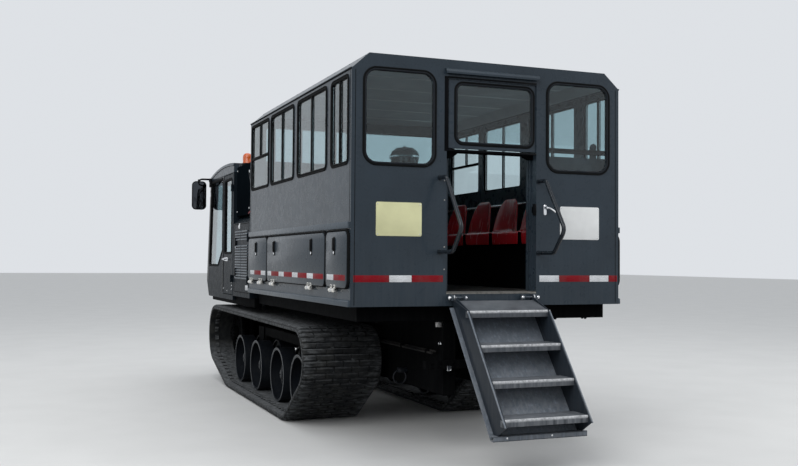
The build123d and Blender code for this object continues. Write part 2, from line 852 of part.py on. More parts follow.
glass_set = seal_inset + seat_gap
bar_half = mullion / 2 + seat_gap
with BuildPart() as cabin_glass:
    for side, sign in sides:
        with BuildSketch(Plane.YZ.offset(sign * (half_width - glass_in))):
            for start, end, cross_bar in side_windows:
                low = rear_face + start + glass_set
                high = rear_face + end - glass_set
                middle = (low + high) / 2
                foot = side_sill + glass_set
                head = side_head - glass_set
                span(low, high, foot, head, side_corner - seal_inset)
                span(middle - bar_half, middle + bar_half, cross_bar or foot, head, 0, Mode.SUBTRACT)
                if cross_bar:
                    span(low, high, cross_bar - bar_half, cross_bar + bar_half, 0, Mode.SUBTRACT)
        extrude(amount=-sign * glass_thickness)
    for plane, inward, (inner, outer, bottom, top), radius in end_windows:
        glass = plane.offset(inward * glass_in)
        for low, high in ((inner, outer), (-outer, -inner)):
            pane(glass, low + glass_set, high - glass_set, bottom + glass_set, top - glass_set,
                 radius - seal_inset, inward)
    pane(transom_plane.offset(-glass_in), transom_left + glass_set, transom_right - glass_set,
         transom_low + glass_set, transom_high - glass_set, transom_corner - seal_inset, -1)
save(cabin_glass, "cabin_glass")

with BuildPart() as transom_panel:
    with BuildSketch(transom_plane):
        span(-door_half + transom_gap, door_half - seat_gap, transom_bottom, door_head - seat_gap)
        span(transom_left, transom_right, transom_low, transom_high, transom_corner, Mode.SUBTRACT)
    extrude(amount=-transom_thickness)
save(transom_panel, "transom_panel")

# Sliding rear door on a flat overhead bar

leaf_front = leaf_rear + leaf_thickness
bar_rear = leaf_rear + (leaf_thickness - track_bar_thickness) / 2
bar_middle = track_bar_bottom + track_bar_height / 2
foot_width, foot_height = bar_foot_size
head_start, head_end, head_bottom, head_top = header_bar
with BuildPart() as door_track:
    block(-track_bar_end, leaf_right, rear_face + bar_rear, rear_face + bar_rear + track_bar_thickness,
          track_bar_bottom, track_bar_bottom + track_bar_height)
    for x, foot in bar_feet:
        block(x - foot_width / 2, x + foot_width / 2, rear_face + foot, rear_face + bar_rear,
              bar_middle - foot_height / 2, bar_middle + foot_height / 2)
    # bar across the entry's head, with a gusset at each end
    head_reach = door_half - seat_gap
    block(-head_reach, head_reach, rear_face + head_start, rear_face + head_end,
          head_bottom, head_top)
    with BuildSketch(cross_plane(rear_face + head_start)):
        for sign, length, height in header_brackets:
            with BuildLine():
                Polyline(
                    (sign * head_reach, head_bottom + 1),
                    (sign * head_reach, head_bottom - height),
                    (sign * (head_reach - length / 2), head_bottom - height),
                    (sign * (head_reach - length), head_bottom + 1),
                    close=True,
                )
            make_face()
    extrude(amount=head_start - head_end)
save(door_track, "door_track")

strap_width, strap_plate = roller_strap
roller_height = track_bar_bottom + track_bar_height + roller_radius + seat_gap
hanger_y = rear_face + bar_rear + track_bar_thickness + seat_gap
with BuildPart() as entry_door:
    block(leaf_right - leaf_width, leaf_right, rear_face + leaf_rear, rear_face + leaf_front,
          leaf_bottom, leaf_top)
    for x in (leaf_right - leaf_width + roller_inset, leaf_right - roller_inset):
        block(x - strap_width / 2, x + strap_width / 2, hanger_y, hanger_y + strap_plate,
              leaf_top, roller_height)
        with BuildSketch(cross_plane(hanger_y - track_bar_thickness)):
            with Locations((x, roller_height)):
                Circle(roller_radius)
        extrude(amount=-track_bar_thickness - strap_plate)
save(entry_door, "entry_door")

# Lockers

hinge_out = half_width + hinge_stand
barrel_length = (hinge_length - hinge_fixed) / 2 - seat_gap


def barrel(sign, low, length):
    """Barrel of a locker hinge, from a distance ahead of the rear face."""
    with BuildSketch(cross_plane(rear_face + low)) as ring:
        with Locations((sign * hinge_out, hinge_height)):
            Circle(hinge_radius)
    extrude(ring.sketch, amount=-length)


for side, sign in sides:
    box_start = rear_face + locker_box_start
    box_end = front_face - end_wall
    back = sign * (inside - locker_depth)
    # the box is a floor, a top, a back and cross walls
    with BuildPart() as locker_box:
        block(sign * inside, back, box_start, box_end, floor_top, floor_top + locker_skin)
        block(sign * inside, back, box_start, box_end, way_top, locker_box_top)
        block(back, back + sign * locker_skin, box_start, box_end,
              floor_top + locker_skin + seat_gap, way_top - seat_gap)
        walls = [(locker_box_start, locker_box_start + locker_skin)]
        for first, second in zip(lockers, lockers[1:]):
            walls.append((first[2], second[1]))
        walls.append((cabin_length - end_wall - locker_skin, cabin_length - end_wall))
        for start, end in walls:
            block(sign * inside, back + sign * (locker_skin + seat_gap),
                  rear_face + start, rear_face + end,
                  floor_top + locker_skin + seat_gap, way_top - seat_gap)
    save(locker_box, "locker_box_" + side)

    for name, start, end, hinges in lockers:
        with BuildPart() as locker_door:
            with BuildSketch(Plane.YZ.offset(sign * (half_width + seat_gap))):
                span(rear_face + start, rear_face + end, locker_bottom, locker_top, locker_corner)
            extrude(amount=sign * locker_leaf)
            for ahead in hinges:
                for low in (ahead - hinge_length / 2, ahead + hinge_fixed / 2 + seat_gap):
                    barrel(sign, low, barrel_length)
                    block(sign * (half_width + locker_leaf - 1), sign * hinge_out,
                          rear_face + low, rear_face + low + barrel_length,
                          hinge_height, hinge_height + hinge_radius + hinge_link)
        save(locker_door, "locker_door_" + name + "_" + side)

with BuildPart() as locker_hinges:
    for side, sign in sides:
        for name, start, end, hinges in lockers:
            for ahead in hinges:
                low = ahead - hinge_fixed / 2
                barrel(sign, low, hinge_fixed)
                block(sign * half_width, sign * hinge_out, rear_face + low,
                      rear_face + low + hinge_fixed,
                      hinge_height - hinge_radius, hinge_height - hinge_radius + hinge_bracket)
save(locker_hinges, "locker_hinges")

# Wall seats and the rails behind them

lip_back, lip_down = seat_lip
for side, sign in sides:
    with BuildPart() as seats:
        for start in seat_starts:
            with BuildSketch(cross_plane(rear_face + start + seat_width)):
                with BuildLine():
                    Polyline(
                        (sign * seat_front, locker_box_top + lip_down),
                        (sign * seat_front, seat_height - lip_down),
                        (sign * (seat_front + lip_back), seat_height),
                        (sign * (seat_back_foot - 2 * lip_back), seat_height - seat_dip),
                        (sign * seat_back_foot, seat_height),
                        (sign * seat_back_top_out, seat_top),
                        (sign * (seat_back_top_out + seat_shell), seat_top),
                        (sign * (seat_back_foot + seat_shell), locker_box_top),
                        (sign * (seat_front + seat_foot), locker_box_top),
                        close=True,
                    )
                make_face()
            extrude(amount=seat_width)
        # the backs narrow to a rounded top
        with BuildSketch(Plane.YZ.offset(sign * seat_front)) as outlines:
            for start in seat_starts:
                low = rear_face + start
                high = low + seat_width
                with BuildSketch(mode=Mode.PRIVATE) as shell:
                    with BuildLine():
                        Polyline(
                            (low, locker_box_top),
                            (high, locker_box_top),
                            (high, seat_shoulder),
                            (high - seat_taper, seat_top),
                            (low + seat_taper, seat_top),
                            (low, seat_shoulder),
                            close=True,
                        )
                    make_face()
                    fillet(shell.vertices().group_by(Axis.Y)[-1], seat_round)
                add(shell.sketch)
        extrude(amount=sign * (seat_back_top_out + seat_shell - seat_front), mode=Mode.INTERSECT)
    save(seats, "seats_" + side)

with BuildPart() as seat_rails:
    for side, sign in sides:
        with BuildSketch(cross_plane(front_face - end_wall)):
            with Locations((sign * rail_out, rail_height)):
                Circle(rail_radius)
        extrude(amount=cabin_length - end_wall - rail_stop)
        for start in seat_starts:
            block(sign * rail_out, sign * inside, rear_face + start + seat_width + rail_bracket,
                  rear_face + start + seat_width + 2 * rail_bracket,
                  rail_height - rail_bracket / 2, rail_height + rail_bracket / 2)
save(seat_rails, "seat_rails")

# Grab handles

with BuildPart() as grab_handles:
    for x in handle_outs:
        points = [(x, rear_face + y, z) for y, z in handle_route]
        with BuildLine() as route:
            FilletPolyline(*points, radius=handle_bend)
        with BuildSketch(Plane(origin=points[0], z_dir=(0, -1, 0))):
            Circle(handle_radius)
        sweep(path=route.wires()[0])
        for y, z in (handle_route[0], handle_route[-1]):
            with BuildSketch(cross_plane(rear_face)):
                with Locations((x, z)):
                    Circle(handle_foot_radius)
            extrude(amount=handle_foot)
save(grab_handles, "grab_handles")

# Folding stairs

stair_angle = atan2(stair_rise, stair_run)
along = (-cos(stair_angle), -sin(stair_angle))       # down the slope, as y and z
out = (-sin(stair_angle), cos(stair_angle))          # square to it, towards the user
nose_y = rear_face + first_nosing[0]
nose_z = first_nosing[1]


def slope_point(down, deep):
    """Point on the stair side: down the nosing line from the first nosing, and in from it."""
    return (nose_y + down * along[0] - deep * out[0], nose_z + down * along[1] - deep * out[1])


pivot_y = rear_face - stair_pivot_back
step_pitch = hypot(stair_rise, stair_run)
stair_down = (step_count - 1) * step_pitch + stair_tail
with BuildPart() as stairs:
    for sign in (-1, 1):
        with BuildSketch(Plane.YZ.offset(sign * stair_half)):
            with BuildLine():
                Polyline(
                    (pivot_y + stair_lug, stair_pivot_height),
                    (pivot_y + stair_lug, stair_pivot_height - stair_tail),
                    slope_point(0, stair_depth),
                    slope_point(stair_down + stair_tail, stair_depth),
                    slope_point(stair_down, 0),
                    slope_point(0, 0),
                    (pivot_y - stair_crest, nose_z + foot_bar),
                    (pivot_y - stair_lug, stair_pivot_height),
                    close=True,
                )
            make_face()
            with Locations((pivot_y, stair_pivot_height)):
                Circle(stair_lug)
                Circle(stair_pin + stair_pin_fit, mode=Mode.SUBTRACT)
        extrude(amount=-sign * stair_plate)
        # flanges along both edges of the side plate
        with BuildSketch(Plane.YZ.offset(sign * (stair_half - 1))):
            for deep, length in (
                (0, stair_down),
                (stair_depth - stair_flange_plate, stair_down + stair_tail),
            ):
                with BuildLine():
                    Polyline(
                        slope_point(0, deep),
                        slope_point(length, deep),
                        slope_point(length, deep + stair_flange_plate),
                        slope_point(0, deep + stair_flange_plate),
                        close=True,
                    )
                make_face()
        extrude(amount=sign * (stair_flange + 1))
    inner_half = stair_half - stair_plate
    with BuildSketch(Plane.YZ.offset(-inner_half)):
        # sheet that closes the back, then the steps
        with BuildLine():
            Polyline(
                slope_point(0, stair_depth),
                slope_point(stair_down + stair_tail, stair_depth),
                slope_point(stair_down + stair_tail, stair_depth - step_plate),
                slope_point(0, stair_depth - step_plate),
                close=True,
            )
        make_face()
        for index in range(step_count):
            y = nose_y - index * stair_run
            z = nose_z - index * stair_rise
            depth = step_depth if index else landing_depth
            with BuildLine():
                Polyline(
                    (y, z),
                    (y, z - nosing_height),
                    (y + step_plate, z - nosing_height),
                    (y + step_plate, z - step_plate),
                    (y + depth, z - step_plate),
                    (y + depth, z),
                    close=True,
                )
            make_face()
    extrude(amount=2 * inner_half)
    foot_y, foot_z = slope_point(stair_down + stair_tail, stair_foot_set)
    block(-stair_half, stair_half, foot_y, foot_y + stair_foot_depth, foot_z - foot_bar, foot_z)
save(stairs, "stairs")

with BuildPart() as stair_hinges:
    for sign in (-1, 1):
        bracket_in = stair_half + seat_gap
        with BuildSketch(Plane.YZ.offset(sign * bracket_in)):
            with Locations((pivot_y, stair_pivot_height)):
                Circle(stair_lug)
            span(pivot_y, rear_face, stair_pivot_height - stair_lug, stair_pivot_height + stair_lug)
        extrude(amount=sign * stair_bracket)
        with BuildSketch(Plane.YZ.offset(sign * (bracket_in + stair_bracket))):
            with Locations((pivot_y, stair_pivot_height)):
                Circle(stair_pin)
        extrude(amount=-sign * (2 * stair_bracket + stair_plate))
save(stair_hinges, "stair_hinges")

# Engine bay


def knuckle(sign, ahead, bottom):
    """Barrel of a door hinge outside the cab or the engine bay."""
    with BuildSketch(Plane.XY.offset(bottom)) as ring:
        with Locations((sign * (cab_half + knuckle_out), rear_face + ahead)):
            Circle(knuckle_radius)
    extrude(ring.sketch, amount=knuckle_length)


def fixed_knuckles(hinge):
    """Lower halves of the hinges on both sides, each on a foot on the skin."""
    ahead, feet = hinge
    for sign in (-1, 1):
        for foot in feet:
            knuckle(sign, ahead, foot)
            block(sign * (cab_half - 1), sign * (cab_half + knuckle_out),
                  rear_face + ahead - knuckle_radius, rear_face + ahead, foot, foot + knuckle_length)


def leaf_knuckles(sign, hinge, leaf_start):
    """Upper halves of one door's hinges, with straps onto the leaf."""
    ahead, feet = hinge
    link = cab_half + knuckle_out - knuckle_radius
    for foot in feet:
        bottom = foot + knuckle_length + seat_gap
        knuckle(sign, ahead, bottom)
        block(sign * link, sign * (link + knuckle_strap), rear_face + ahead,
              rear_face + leaf_start + 1, bottom, bottom + knuckle_length)
        block(sign * (cab_half - 1), sign * (link + knuckle_strap), rear_face + leaf_start,
              rear_face + leaf_start + knuckle_reach, bottom, bottom + knuckle_length)


bay_rear = rear_face + bay_start
bay_front = rear_face + bay_end
door_start, door_end, door_bottom, door_top = bay_door
with BuildPart() as engine_bay:
    with BuildSketch(cross_plane(bay_rear)):
        with BuildLine():
            Polyline(
                (-cab_half, bay_bottom),
                (-cab_half, bay_eaves),
                (-cab_half + bay_slope_run, bay_top),
                (cab_half - bay_slope_run, bay_top),
                (cab_half, bay_eaves),
                (cab_half, bay_bottom),
                close=True,
            )
        make_face()
    extrude(amount=-(bay_end - bay_start))
    with BuildSketch(cross_plane(bay_rear + bay_skin)):
        with BuildLine():
            Polyline(
                (-cab_half + bay_post, bay_bottom),
                (-cab_half + bay_post, bay_eaves - bay_skin / 2),
                (-cab_half + bay_slope_run + bay_skin / 2, bay_top - bay_skin),
                (cab_half - bay_slope_run - bay_skin / 2, bay_top - bay_skin),
                (cab_half - bay_post, bay_eaves - bay_skin / 2),
                (cab_half - bay_post, bay_bottom),
                close=True,
            )
        make_face()
    extrude(amount=-(bay_end - bay_start - 2 * bay_skin), mode=Mode.SUBTRACT)
    with BuildSketch(Plane.YZ.offset(-cab_half)):
        span(rear_face + door_start - swing_gap, rear_face + door_end + swing_gap,
             door_bottom - swing_gap, door_top + swing_gap)
    extrude(amount=2 * cab_half, mode=Mode.SUBTRACT)
    fixed_knuckles(bay_hinge)
save(engine_bay, "engine_bay")

for side, sign in sides:
    with BuildPart() as bay_leaf:
        with BuildSketch(Plane.YZ.offset(sign * cab_half)):
            span(rear_face + door_start, rear_face + door_end, door_bottom, door_top)
            middle = rear_face + (door_start + door_end) / 2
            for bottom, count in louvres:
                for index in range(count):
                    for column in louvre_columns:
                        low = middle + column - louvre_length / 2
                        span(low, low + louvre_length, bottom + index * louvre_pitch,
                             bottom + index * louvre_pitch + louvre_gap, 0, Mode.SUBTRACT)
        extrude(amount=-sign * bay_door_skin)
        leaf_knuckles(sign, bay_hinge, door_start)
    save(bay_leaf, "engine_door_" + side)

with BuildPart() as engine_block:
    across, length, height = engine
    block(-across / 2, across / 2, rear_face + engine_ahead - length / 2,
          rear_face + engine_ahead + length / 2, engine_bottom, engine_bottom + height)
save(engine_block, "engine_block")

with BuildPart() as cooler_box:
    across, length, height = cooler
    block(cooler_out - across / 2, cooler_out + across / 2,
          rear_face + cooler_ahead - length / 2, rear_face + cooler_ahead + length / 2,
          bay_top, bay_top + height)
save(cooler_box, "cooler_box")

with BuildPart() as air_cleaner:
    with BuildSketch(Plane(origin=(cleaner_out, rear_face + cleaner_ahead, 0), x_dir=(1, 0, 0),
                           z_dir=(0, -1, 0))):
        bowl = [(cleaner_radius - inset, cleaner_top - down) for inset, down in cleaner_bowl]
        with BuildLine():
            Polyline(
                (0, bay_top),
                (cleaner_neck, bay_top),
                *bowl,
                (0, cleaner_top),
                close=True,
            )
        make_face()
    revolve(axis=Axis((cleaner_out, rear_face + cleaner_ahead, 0), (0, 0, 1)))
save(air_cleaner, "air_cleaner")

with BuildPart() as beacon:
    with BuildSketch(Plane(origin=(beacon_out, rear_face + beacon_ahead, 0), x_dir=(1, 0, 0),
                           z_dir=(0, -1, 0))):
        base = bay_top + cooler[2]
        lamp = [(radius, base + up) for radius, up in beacon_profile]
        with BuildLine():
            Polyline((0, base), *lamp, close=True)
        make_face()
    revolve(axis=Axis((beacon_out, rear_face + beacon_ahead, 0), (0, 0, 1)))
save(beacon, "beacon")

# Driver's cab


def cab_outline(inset):
    """Side outline of the cab, moved in by the skin."""
    front_y, front_z = cab_front_top
    low_y, low_z = cab_front_low
    foot_y, foot_z = cab_front_foot
    rear_y = rear_face + cab_rear + inset
    with BuildSketch() as outline:
        with BuildLine():
            ThreePointArc(
                (rear_y, cab_roof_rear - inset),
                (rear_face + (cab_rear + front_y) / 2, cab_roof_crown - inset),
                (rear_face + front_y - inset, front_z - inset),
            )
            Polyline(
                (rear_face + front_y - inset, front_z - inset),
                (rear_face + low_y - inset, low_z + inset / 3),
                (rear_face + foot_y - inset, foot_z + inset),
                (rear_y, foot_z + inset),
                (rear_y, cab_roof_rear - inset),
            )
        make_face()
    return outline.sketch


def side_glass_outline():
    """Fixed side window of the cab, ahead of the door."""
    with BuildSketch() as outline:
        with BuildLine():
            Polyline([(rear_face + ahead, height) for ahead, height in side_glass_corners], close=True)
        make_face()
        fillet(outline.vertices(), side_glass_radius)
    return outline.sketch


def screen_y(z):
    """Where the cab's sloping front stands at a height."""
    front_y, front_z = cab_front_top
    low_y, low_z = cab_front_low
    return rear_face + low_y + (front_y - low_y) * (z - low_z) / (front_z - low_z)


door_low, door_high, door_foot, door_crest = cab_door
with BuildPart() as cab_shell:
    with BuildSketch(Plane.YZ.offset(-cab_half)):
        add(cab_outline(0))
    extrude(amount=2 * cab_half)
    with BuildSketch(Plane.YZ.offset(-cab_half + cab_skin)):
        add(cab_outline(cab_skin))
    extrude(amount=2 * (cab_half - cab_skin), mode=Mode.SUBTRACT)
    # door ways and the fixed side glass ahead of them
    with BuildSketch(Plane.YZ.offset(-cab_half)):
        span(rear_face + door_low - swing_gap, rear_face + door_high + swing_gap,
             door_foot - swing_gap, door_crest + swing_gap)
        add(side_glass_outline())
    extrude(amount=2 * cab_half, mode=Mode.SUBTRACT)
    # windscreen and rear window
    with BuildSketch(cross_plane(rear_face + cab_rear + cab_skin)):
        span(-cab_half + screen_side, cab_half - screen_side, screen_bottom, screen_top)
    extrude(amount=cab_rear + cab_skin - cab_front_low[0], mode=Mode.SUBTRACT)
    with BuildSketch(cross_plane(rear_face + cab_rear)):
        span(-cab_half + back_glass_side, cab_half - back_glass_side, back_glass[0], back_glass[1],
             glass_corner)
    extrude(amount=-cab_skin, mode=Mode.SUBTRACT)

with BuildPart() as cab_body:
    add(cab_shell.part)
    split(bisect_by=Plane.XY.offset(cab_roof_joint), keep=Keep.BOTTOM)
    # joints of the side panels and of the floor with the rest
    cab_floor = cab_front_foot[1] + cab_skin
    for sign in (-1, 1):
        block(sign * (cab_half - cab_skin), sign * (cab_half - cab_skin - seat_gap),
              rear_face + cab_rear, rear_face + cab_front_low[0],
              cab_front_foot[1], cab_roof_joint, Mode.SUBTRACT)
    block(-cab_half + cab_skin, cab_half - cab_skin, rear_face + cab_rear,
          rear_face + cab_front_low[0], cab_floor, cab_floor + seat_gap, Mode.SUBTRACT)
    fixed_knuckles(cab_hinge)
save(cab_body, "cab_body")

with BuildPart() as cab_roof:
    add(cab_shell.part)
    split(bisect_by=Plane.XY.offset(cab_roof_joint), keep=Keep.TOP)
save(cab_roof, "cab_roof")

for side, sign in sides:
    with BuildPart() as cab_leaf:
        with BuildSketch(Plane.YZ.offset(sign * cab_half)):
            span(rear_face + door_low, rear_face + door_high, door_foot, door_crest)
            span(rear_face + door_low + door_glass_margin, rear_face + door_high - door_glass_margin,
                 door_glass_bottom, door_crest - door_glass_margin, glass_corner, Mode.SUBTRACT)
        extrude(amount=-sign * cab_door_skin)
        leaf_knuckles(sign, cab_hinge, door_low)
    save(cab_leaf, "cab_door_" + side)

    with BuildPart() as leaf_glass:
        with BuildSketch(Plane.YZ.offset(sign * (cab_half - cab_glass_set))):
            margin = door_glass_margin + seat_gap
            span(rear_face + door_low + margin, rear_face + door_high - margin,
                 door_glass_bottom + seat_gap, door_crest - margin, glass_corner)
        extrude(amount=-sign * glass_thickness)
    save(leaf_glass, "cab_door_glass_" + side)

with BuildPart() as cab_glass:
    for sign in (-1, 1):
        with BuildSketch(Plane.YZ.offset(sign * (cab_half - cab_glass_set))):
            add(side_glass_outline())
            offset(amount=-seat_gap)
        extrude(amount=-sign * glass_thickness)
    # windscreen, parallel to the sloping front
    low = screen_bottom + seat_gap
    high = screen_top - seat_gap
    with BuildSketch(Plane.YZ.offset(-cab_half + screen_side + seat_gap)):
        with BuildLine():
            Polyline(
                (screen_y(low) - screen_set, low),
                (screen_y(high) - screen_set, high),
                (screen_y(high) - screen_set - glass_thickness, high),
                (screen_y(low) - screen_set - glass_thickness, low),
                close=True,
            )
        make_face()
    extrude(amount=2 * (cab_half - screen_side - seat_gap))
    plate(cross_plane(rear_face + cab_rear + cab_glass_set), -cab_half + back_glass_side + seat_gap,
          cab_half - back_glass_side - seat_gap, back_glass[0] + seat_gap,
          back_glass[1] - seat_gap, glass_corner, -glass_thickness)
save(cab_glass, "cab_glass")

with BuildPart() as cab_seat:
    for half, start, end, bottom, top in (cushion, backrest):
        block(-half, half, rear_face + start, rear_face + end, bottom, top)
    half, start, end = seat_stand
    block(-half, half, rear_face + start, rear_face + end, cab_floor, cushion[3])
save(cab_seat, "cab_seat")

with BuildPart() as cab_console:
    half, start, end, bottom, top = dash
    block(-half, half, rear_face + start, rear_face + end, bottom, top)
    half, start, end, top = dash_stand
    block(-half, half, rear_face + start, rear_face + end, cab_floor, top)
save(cab_console, "cab_console")

with BuildPart() as mirrors:
    across, length, height = mirror_case
    arm_foot = mirror_height + height / 2
    for sign in (-1, 1):
        plate(cross_plane(rear_face + mirror_ahead - length / 2),
              sign * mirror_out - across / 2, sign * mirror_out + across / 2,
              arm_foot - height, arm_foot, mirror_corner, -length)
        block(sign * (mirror_out - mirror_arm / 2), sign * (mirror_out + mirror_arm / 2),
              rear_face + mirror_arm_ahead, rear_face + mirror_ahead + length / 2,
              arm_foot, arm_foot + mirror_arm)
        block(sign * cab_half, sign * mirror_out,
              rear_face + mirror_arm_ahead, rear_face + mirror_arm_ahead + mirror_arm,
              arm_foot, arm_foot + mirror_arm)
save(mirrors, "mirrors")

bumper_front = rear_face + rail_end + bumper_depth
with BuildPart() as front_bumper:
    block(-cab_half + bumper_inset, cab_half - bumper_inset, bumper_front - bumper_plate, bumper_front,
          rail_top - bumper_height, rail_top)
    for sign in (-1, 1):
        block(sign * (rail_middle - rail_width / 2), sign * (rail_middle + rail_width / 2),
              rear_face + rail_end, bumper_front - bumper_plate, rail_top - bumper_height, rail_top)
save(front_bumper, "front_bumper")

with BuildPart() as headlamps:
    for sign in (-1, 1):
        with BuildSketch(cross_plane(bumper_front)):
            with Locations((sign * lamp_out, rail_top - bumper_height / 2)):
                Circle(lamp_radius)
        extrude(amount=-lamp_depth)
save(headlamps, "headlamps")
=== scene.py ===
from math import acos, atan2, cos, exp, hypot, pi, radians, sin, tan

import bmesh
import bpy
from mathutils import Matrix, Vector


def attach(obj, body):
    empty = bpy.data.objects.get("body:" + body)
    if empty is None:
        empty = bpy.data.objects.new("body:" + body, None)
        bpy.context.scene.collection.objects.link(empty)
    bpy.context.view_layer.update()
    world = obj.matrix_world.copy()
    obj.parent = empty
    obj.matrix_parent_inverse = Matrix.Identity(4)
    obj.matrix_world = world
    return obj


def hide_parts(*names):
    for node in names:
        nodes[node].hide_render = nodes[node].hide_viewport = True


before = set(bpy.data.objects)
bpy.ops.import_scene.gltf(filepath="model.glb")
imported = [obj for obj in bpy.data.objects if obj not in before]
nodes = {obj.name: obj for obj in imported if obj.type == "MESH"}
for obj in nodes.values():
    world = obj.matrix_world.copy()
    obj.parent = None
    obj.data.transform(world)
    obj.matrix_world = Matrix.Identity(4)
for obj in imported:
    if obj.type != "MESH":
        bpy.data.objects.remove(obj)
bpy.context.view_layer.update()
rearFace = -2.445  # outer face of the cabin's rear wall
halfWidth = 1.144  # middle plane to the cabin's side skin
bothSides = (("left", -1), ("right", 1))
print("frame loaded:", len(nodes), "nodes")

# materials: every finish is made from noise on the object's own coordinates
def startMaterial(name, metallic=0.0, roughness=0.5, coat=0.0, specular=0.5):
    material = bpy.data.materials.new(name)
    material.use_nodes = True
    tree = material.node_tree
    shader = tree.nodes["Principled BSDF"]
    for socket, value in (("Metallic", metallic), ("Roughness", roughness), ("Coat Weight", coat),
                          ("Coat Roughness", 0.1), ("Specular IOR Level", specular)):
        shader.inputs[socket].default_value = value
    place = tree.nodes.new("ShaderNodeTexCoord").outputs["Object"]
    return material, tree, shader, place


def scaled(colour, share):
    return tuple(min(1, part * share) for part in colour)


def stretched(tree, place, scale):
    mapping = tree.nodes.new("ShaderNodeMapping")
    mapping.inputs["Scale"].default_value = scale
    tree.links.new(place, mapping.inputs["Vector"])
    return mapping.outputs["Vector"]


def noise(tree, place, scale, detail=4.0, roughness=0.55):
    made = tree.nodes.new("ShaderNodeTexNoise")
    made.inputs["Scale"].default_value = scale
    made.inputs["Detail"].default_value = detail
    made.inputs["Roughness"].default_value = roughness
    tree.links.new(place, made.inputs["Vector"])
    return made.outputs["Fac"]


def remap(tree, source, low, high, toLow=0.0, toHigh=1.0):
    made = tree.nodes.new("ShaderNodeMapRange")
    for name, value in zip(("From Min", "From Max", "To Min", "To Max"), (low, high, toLow, toHigh)):
        made.inputs[name].default_value = value
    tree.links.new(source, made.inputs["Value"])
    return made.outputs["Result"]


def combine(tree, operation, first, second):
    made = tree.nodes.new("ShaderNodeMath")
    made.operation = operation
    for socket, value in zip(made.inputs, (first, second)):
        if isinstance(value, (int, float)):
            socket.default_value = value
        else:
            tree.links.new(value, socket)
    return made.outputs[0]


def multiply(tree, first, second):
    return combine(tree, "MULTIPLY", first, second)


def blendColour(tree, factor, first, second):
    made = tree.nodes.new("ShaderNodeMix")
    made.data_type = "RGBA"
    tree.links.new(factor, made.inputs[0])
    for socket, value in ((made.inputs[6], first), (made.inputs[7], second)):
        if isinstance(value, tuple):
            socket.default_value = value + (1.0,)
        else:
            tree.links.new(value, socket)
    return made.outputs[2]


def addBump(tree, shader, height, strength, distance):
    made = tree.nodes.new("ShaderNodeBump")
    made.inputs["Strength"].default_value = strength
    made.inputs["Distance"].default_value = distance
    tree.links.new(height, made.inputs["Height"])
    tree.links.new(made.outputs["Normal"], shader.inputs["Normal"])


def feed(tree, shader, colour, roughness=None):
    tree.links.new(colour, shader.inputs["Base Color"])
    if roughness:
        tree.links.new(roughness, shader.inputs["Roughness"])


def axisOf(tree, place, axis):
    made = tree.nodes.new("ShaderNodeSeparateXYZ")
    tree.links.new(place, made.inputs[0])
    return made.outputs[axis]


def wearAndHighlightShare(tree):
    # attribute worn, written on the pieces that wear, and on the track's lug tips also for a painted highlight;
    # 0 on all others
    made = tree.nodes.new("ShaderNodeAttribute")
    made.attribute_name = "worn"
    return made.outputs["Fac"]


def upward(tree):
    return axisOf(tree, tree.nodes.new("ShaderNodeNewGeometry").outputs["Normal"], "Z")


def waves(tree, place, scale, direction="X"):
    made = tree.nodes.new("ShaderNodeTexWave")
    made.bands_direction = direction
    made.inputs["Scale"].default_value = scale
    tree.links.new(place, made.inputs["Vector"])
    return made.outputs["Fac"]


def paintMaterial(name, colour, dust, dustColour=(0.15, 0.155, 0.155), roughness=0.28, coat=0.12,
                  dustTop=1.9, peel=0.05, specular=0.22, wornColour=(0.24, 0.25, 0.26), streak=0.25):
    material, tree, shader, place = startMaterial(name, roughness=roughness, coat=coat, specular=specular)
    shade = remap(tree, noise(tree, place, 2.6, 6), 0.3, 0.7)
    paint = blendColour(tree, shade, scaled(colour, 0.86), scaled(colour, 1.14))
    # dust that runs down the sides, thicker towards the ground, and lies on flat tops
    streaks = noise(tree, stretched(tree, place, (16, 16, 0.9)), 2.2, 6, 0.62)
    low = remap(tree, axisOf(tree, place, "Z"), dustTop, 0.5)
    film = multiply(tree, low, remap(tree, streaks, 0.36, 0.66))
    flat = remap(tree, upward(tree), 0.6, 0.95)
    settled = multiply(tree, flat, remap(tree, noise(tree, place, 5, 5), 0.3, 0.75))
    total = combine(tree, "MAXIMUM", film, settled)
    total = multiply(tree, total, dust)
    paint = blendColour(tree, total, paint, dustColour)
    # fine scratches, brushed streaks, and bare metal where the piece is marked as worn
    scratch = noise(tree, stretched(tree, place, (3, 3, 40)), 6, 3, 0.7)
    marks = multiply(tree, remap(tree, scratch, 0.70, 0.76), 0.25)
    paint = blendColour(tree, marks, paint, scaled(colour, 2.6))
    brushed = noise(tree, stretched(tree, place, (26, 26, 2.2)), 1.6, 5, 0.7)
    brushed = multiply(tree, remap(tree, brushed, 0.52, 0.74), streak)
    paint = blendColour(tree, brushed, paint, scaled(colour, 2.2))
    chipped = remap(tree, noise(tree, place, 42, 5), 0.34, 0.62, 0.45, 1.0)
    bared = multiply(tree, remap(tree, wearAndHighlightShare(tree), 0.62, 1.0), chipped)
    paint = blendColour(tree, bared, paint, wornColour)
    rough = remap(tree, total, 0, 1, roughness, 0.75)
    rough = combine(tree, "ADD", rough, remap(tree, noise(tree, place, 18, 3), 0.3, 0.7, -0.04, 0.06))
    feed(tree, shader, paint, rough)
    addBump(tree, shader, noise(tree, place, 260, 2), peel, 0.0006)
    return material


def metalMaterial(name, colour, roughness, brushed=(1, 1, 1), tarnish=0.35):
    material, tree, shader, place = startMaterial(name, metallic=1.0, roughness=roughness)
    patches = remap(tree, noise(tree, place, 34, 5), 0.42, 0.72)
    patches = multiply(tree, patches, tarnish)
    metal = blendColour(tree, patches, colour, scaled(colour, 0.45))
    grain = noise(tree, stretched(tree, place, brushed), 160, 3)
    feed(tree, shader, metal, remap(tree, grain, 0.3, 0.7, roughness * 0.7, roughness * 1.5))
    addBump(tree, shader, grain, 0.08, 0.0004)
    return material


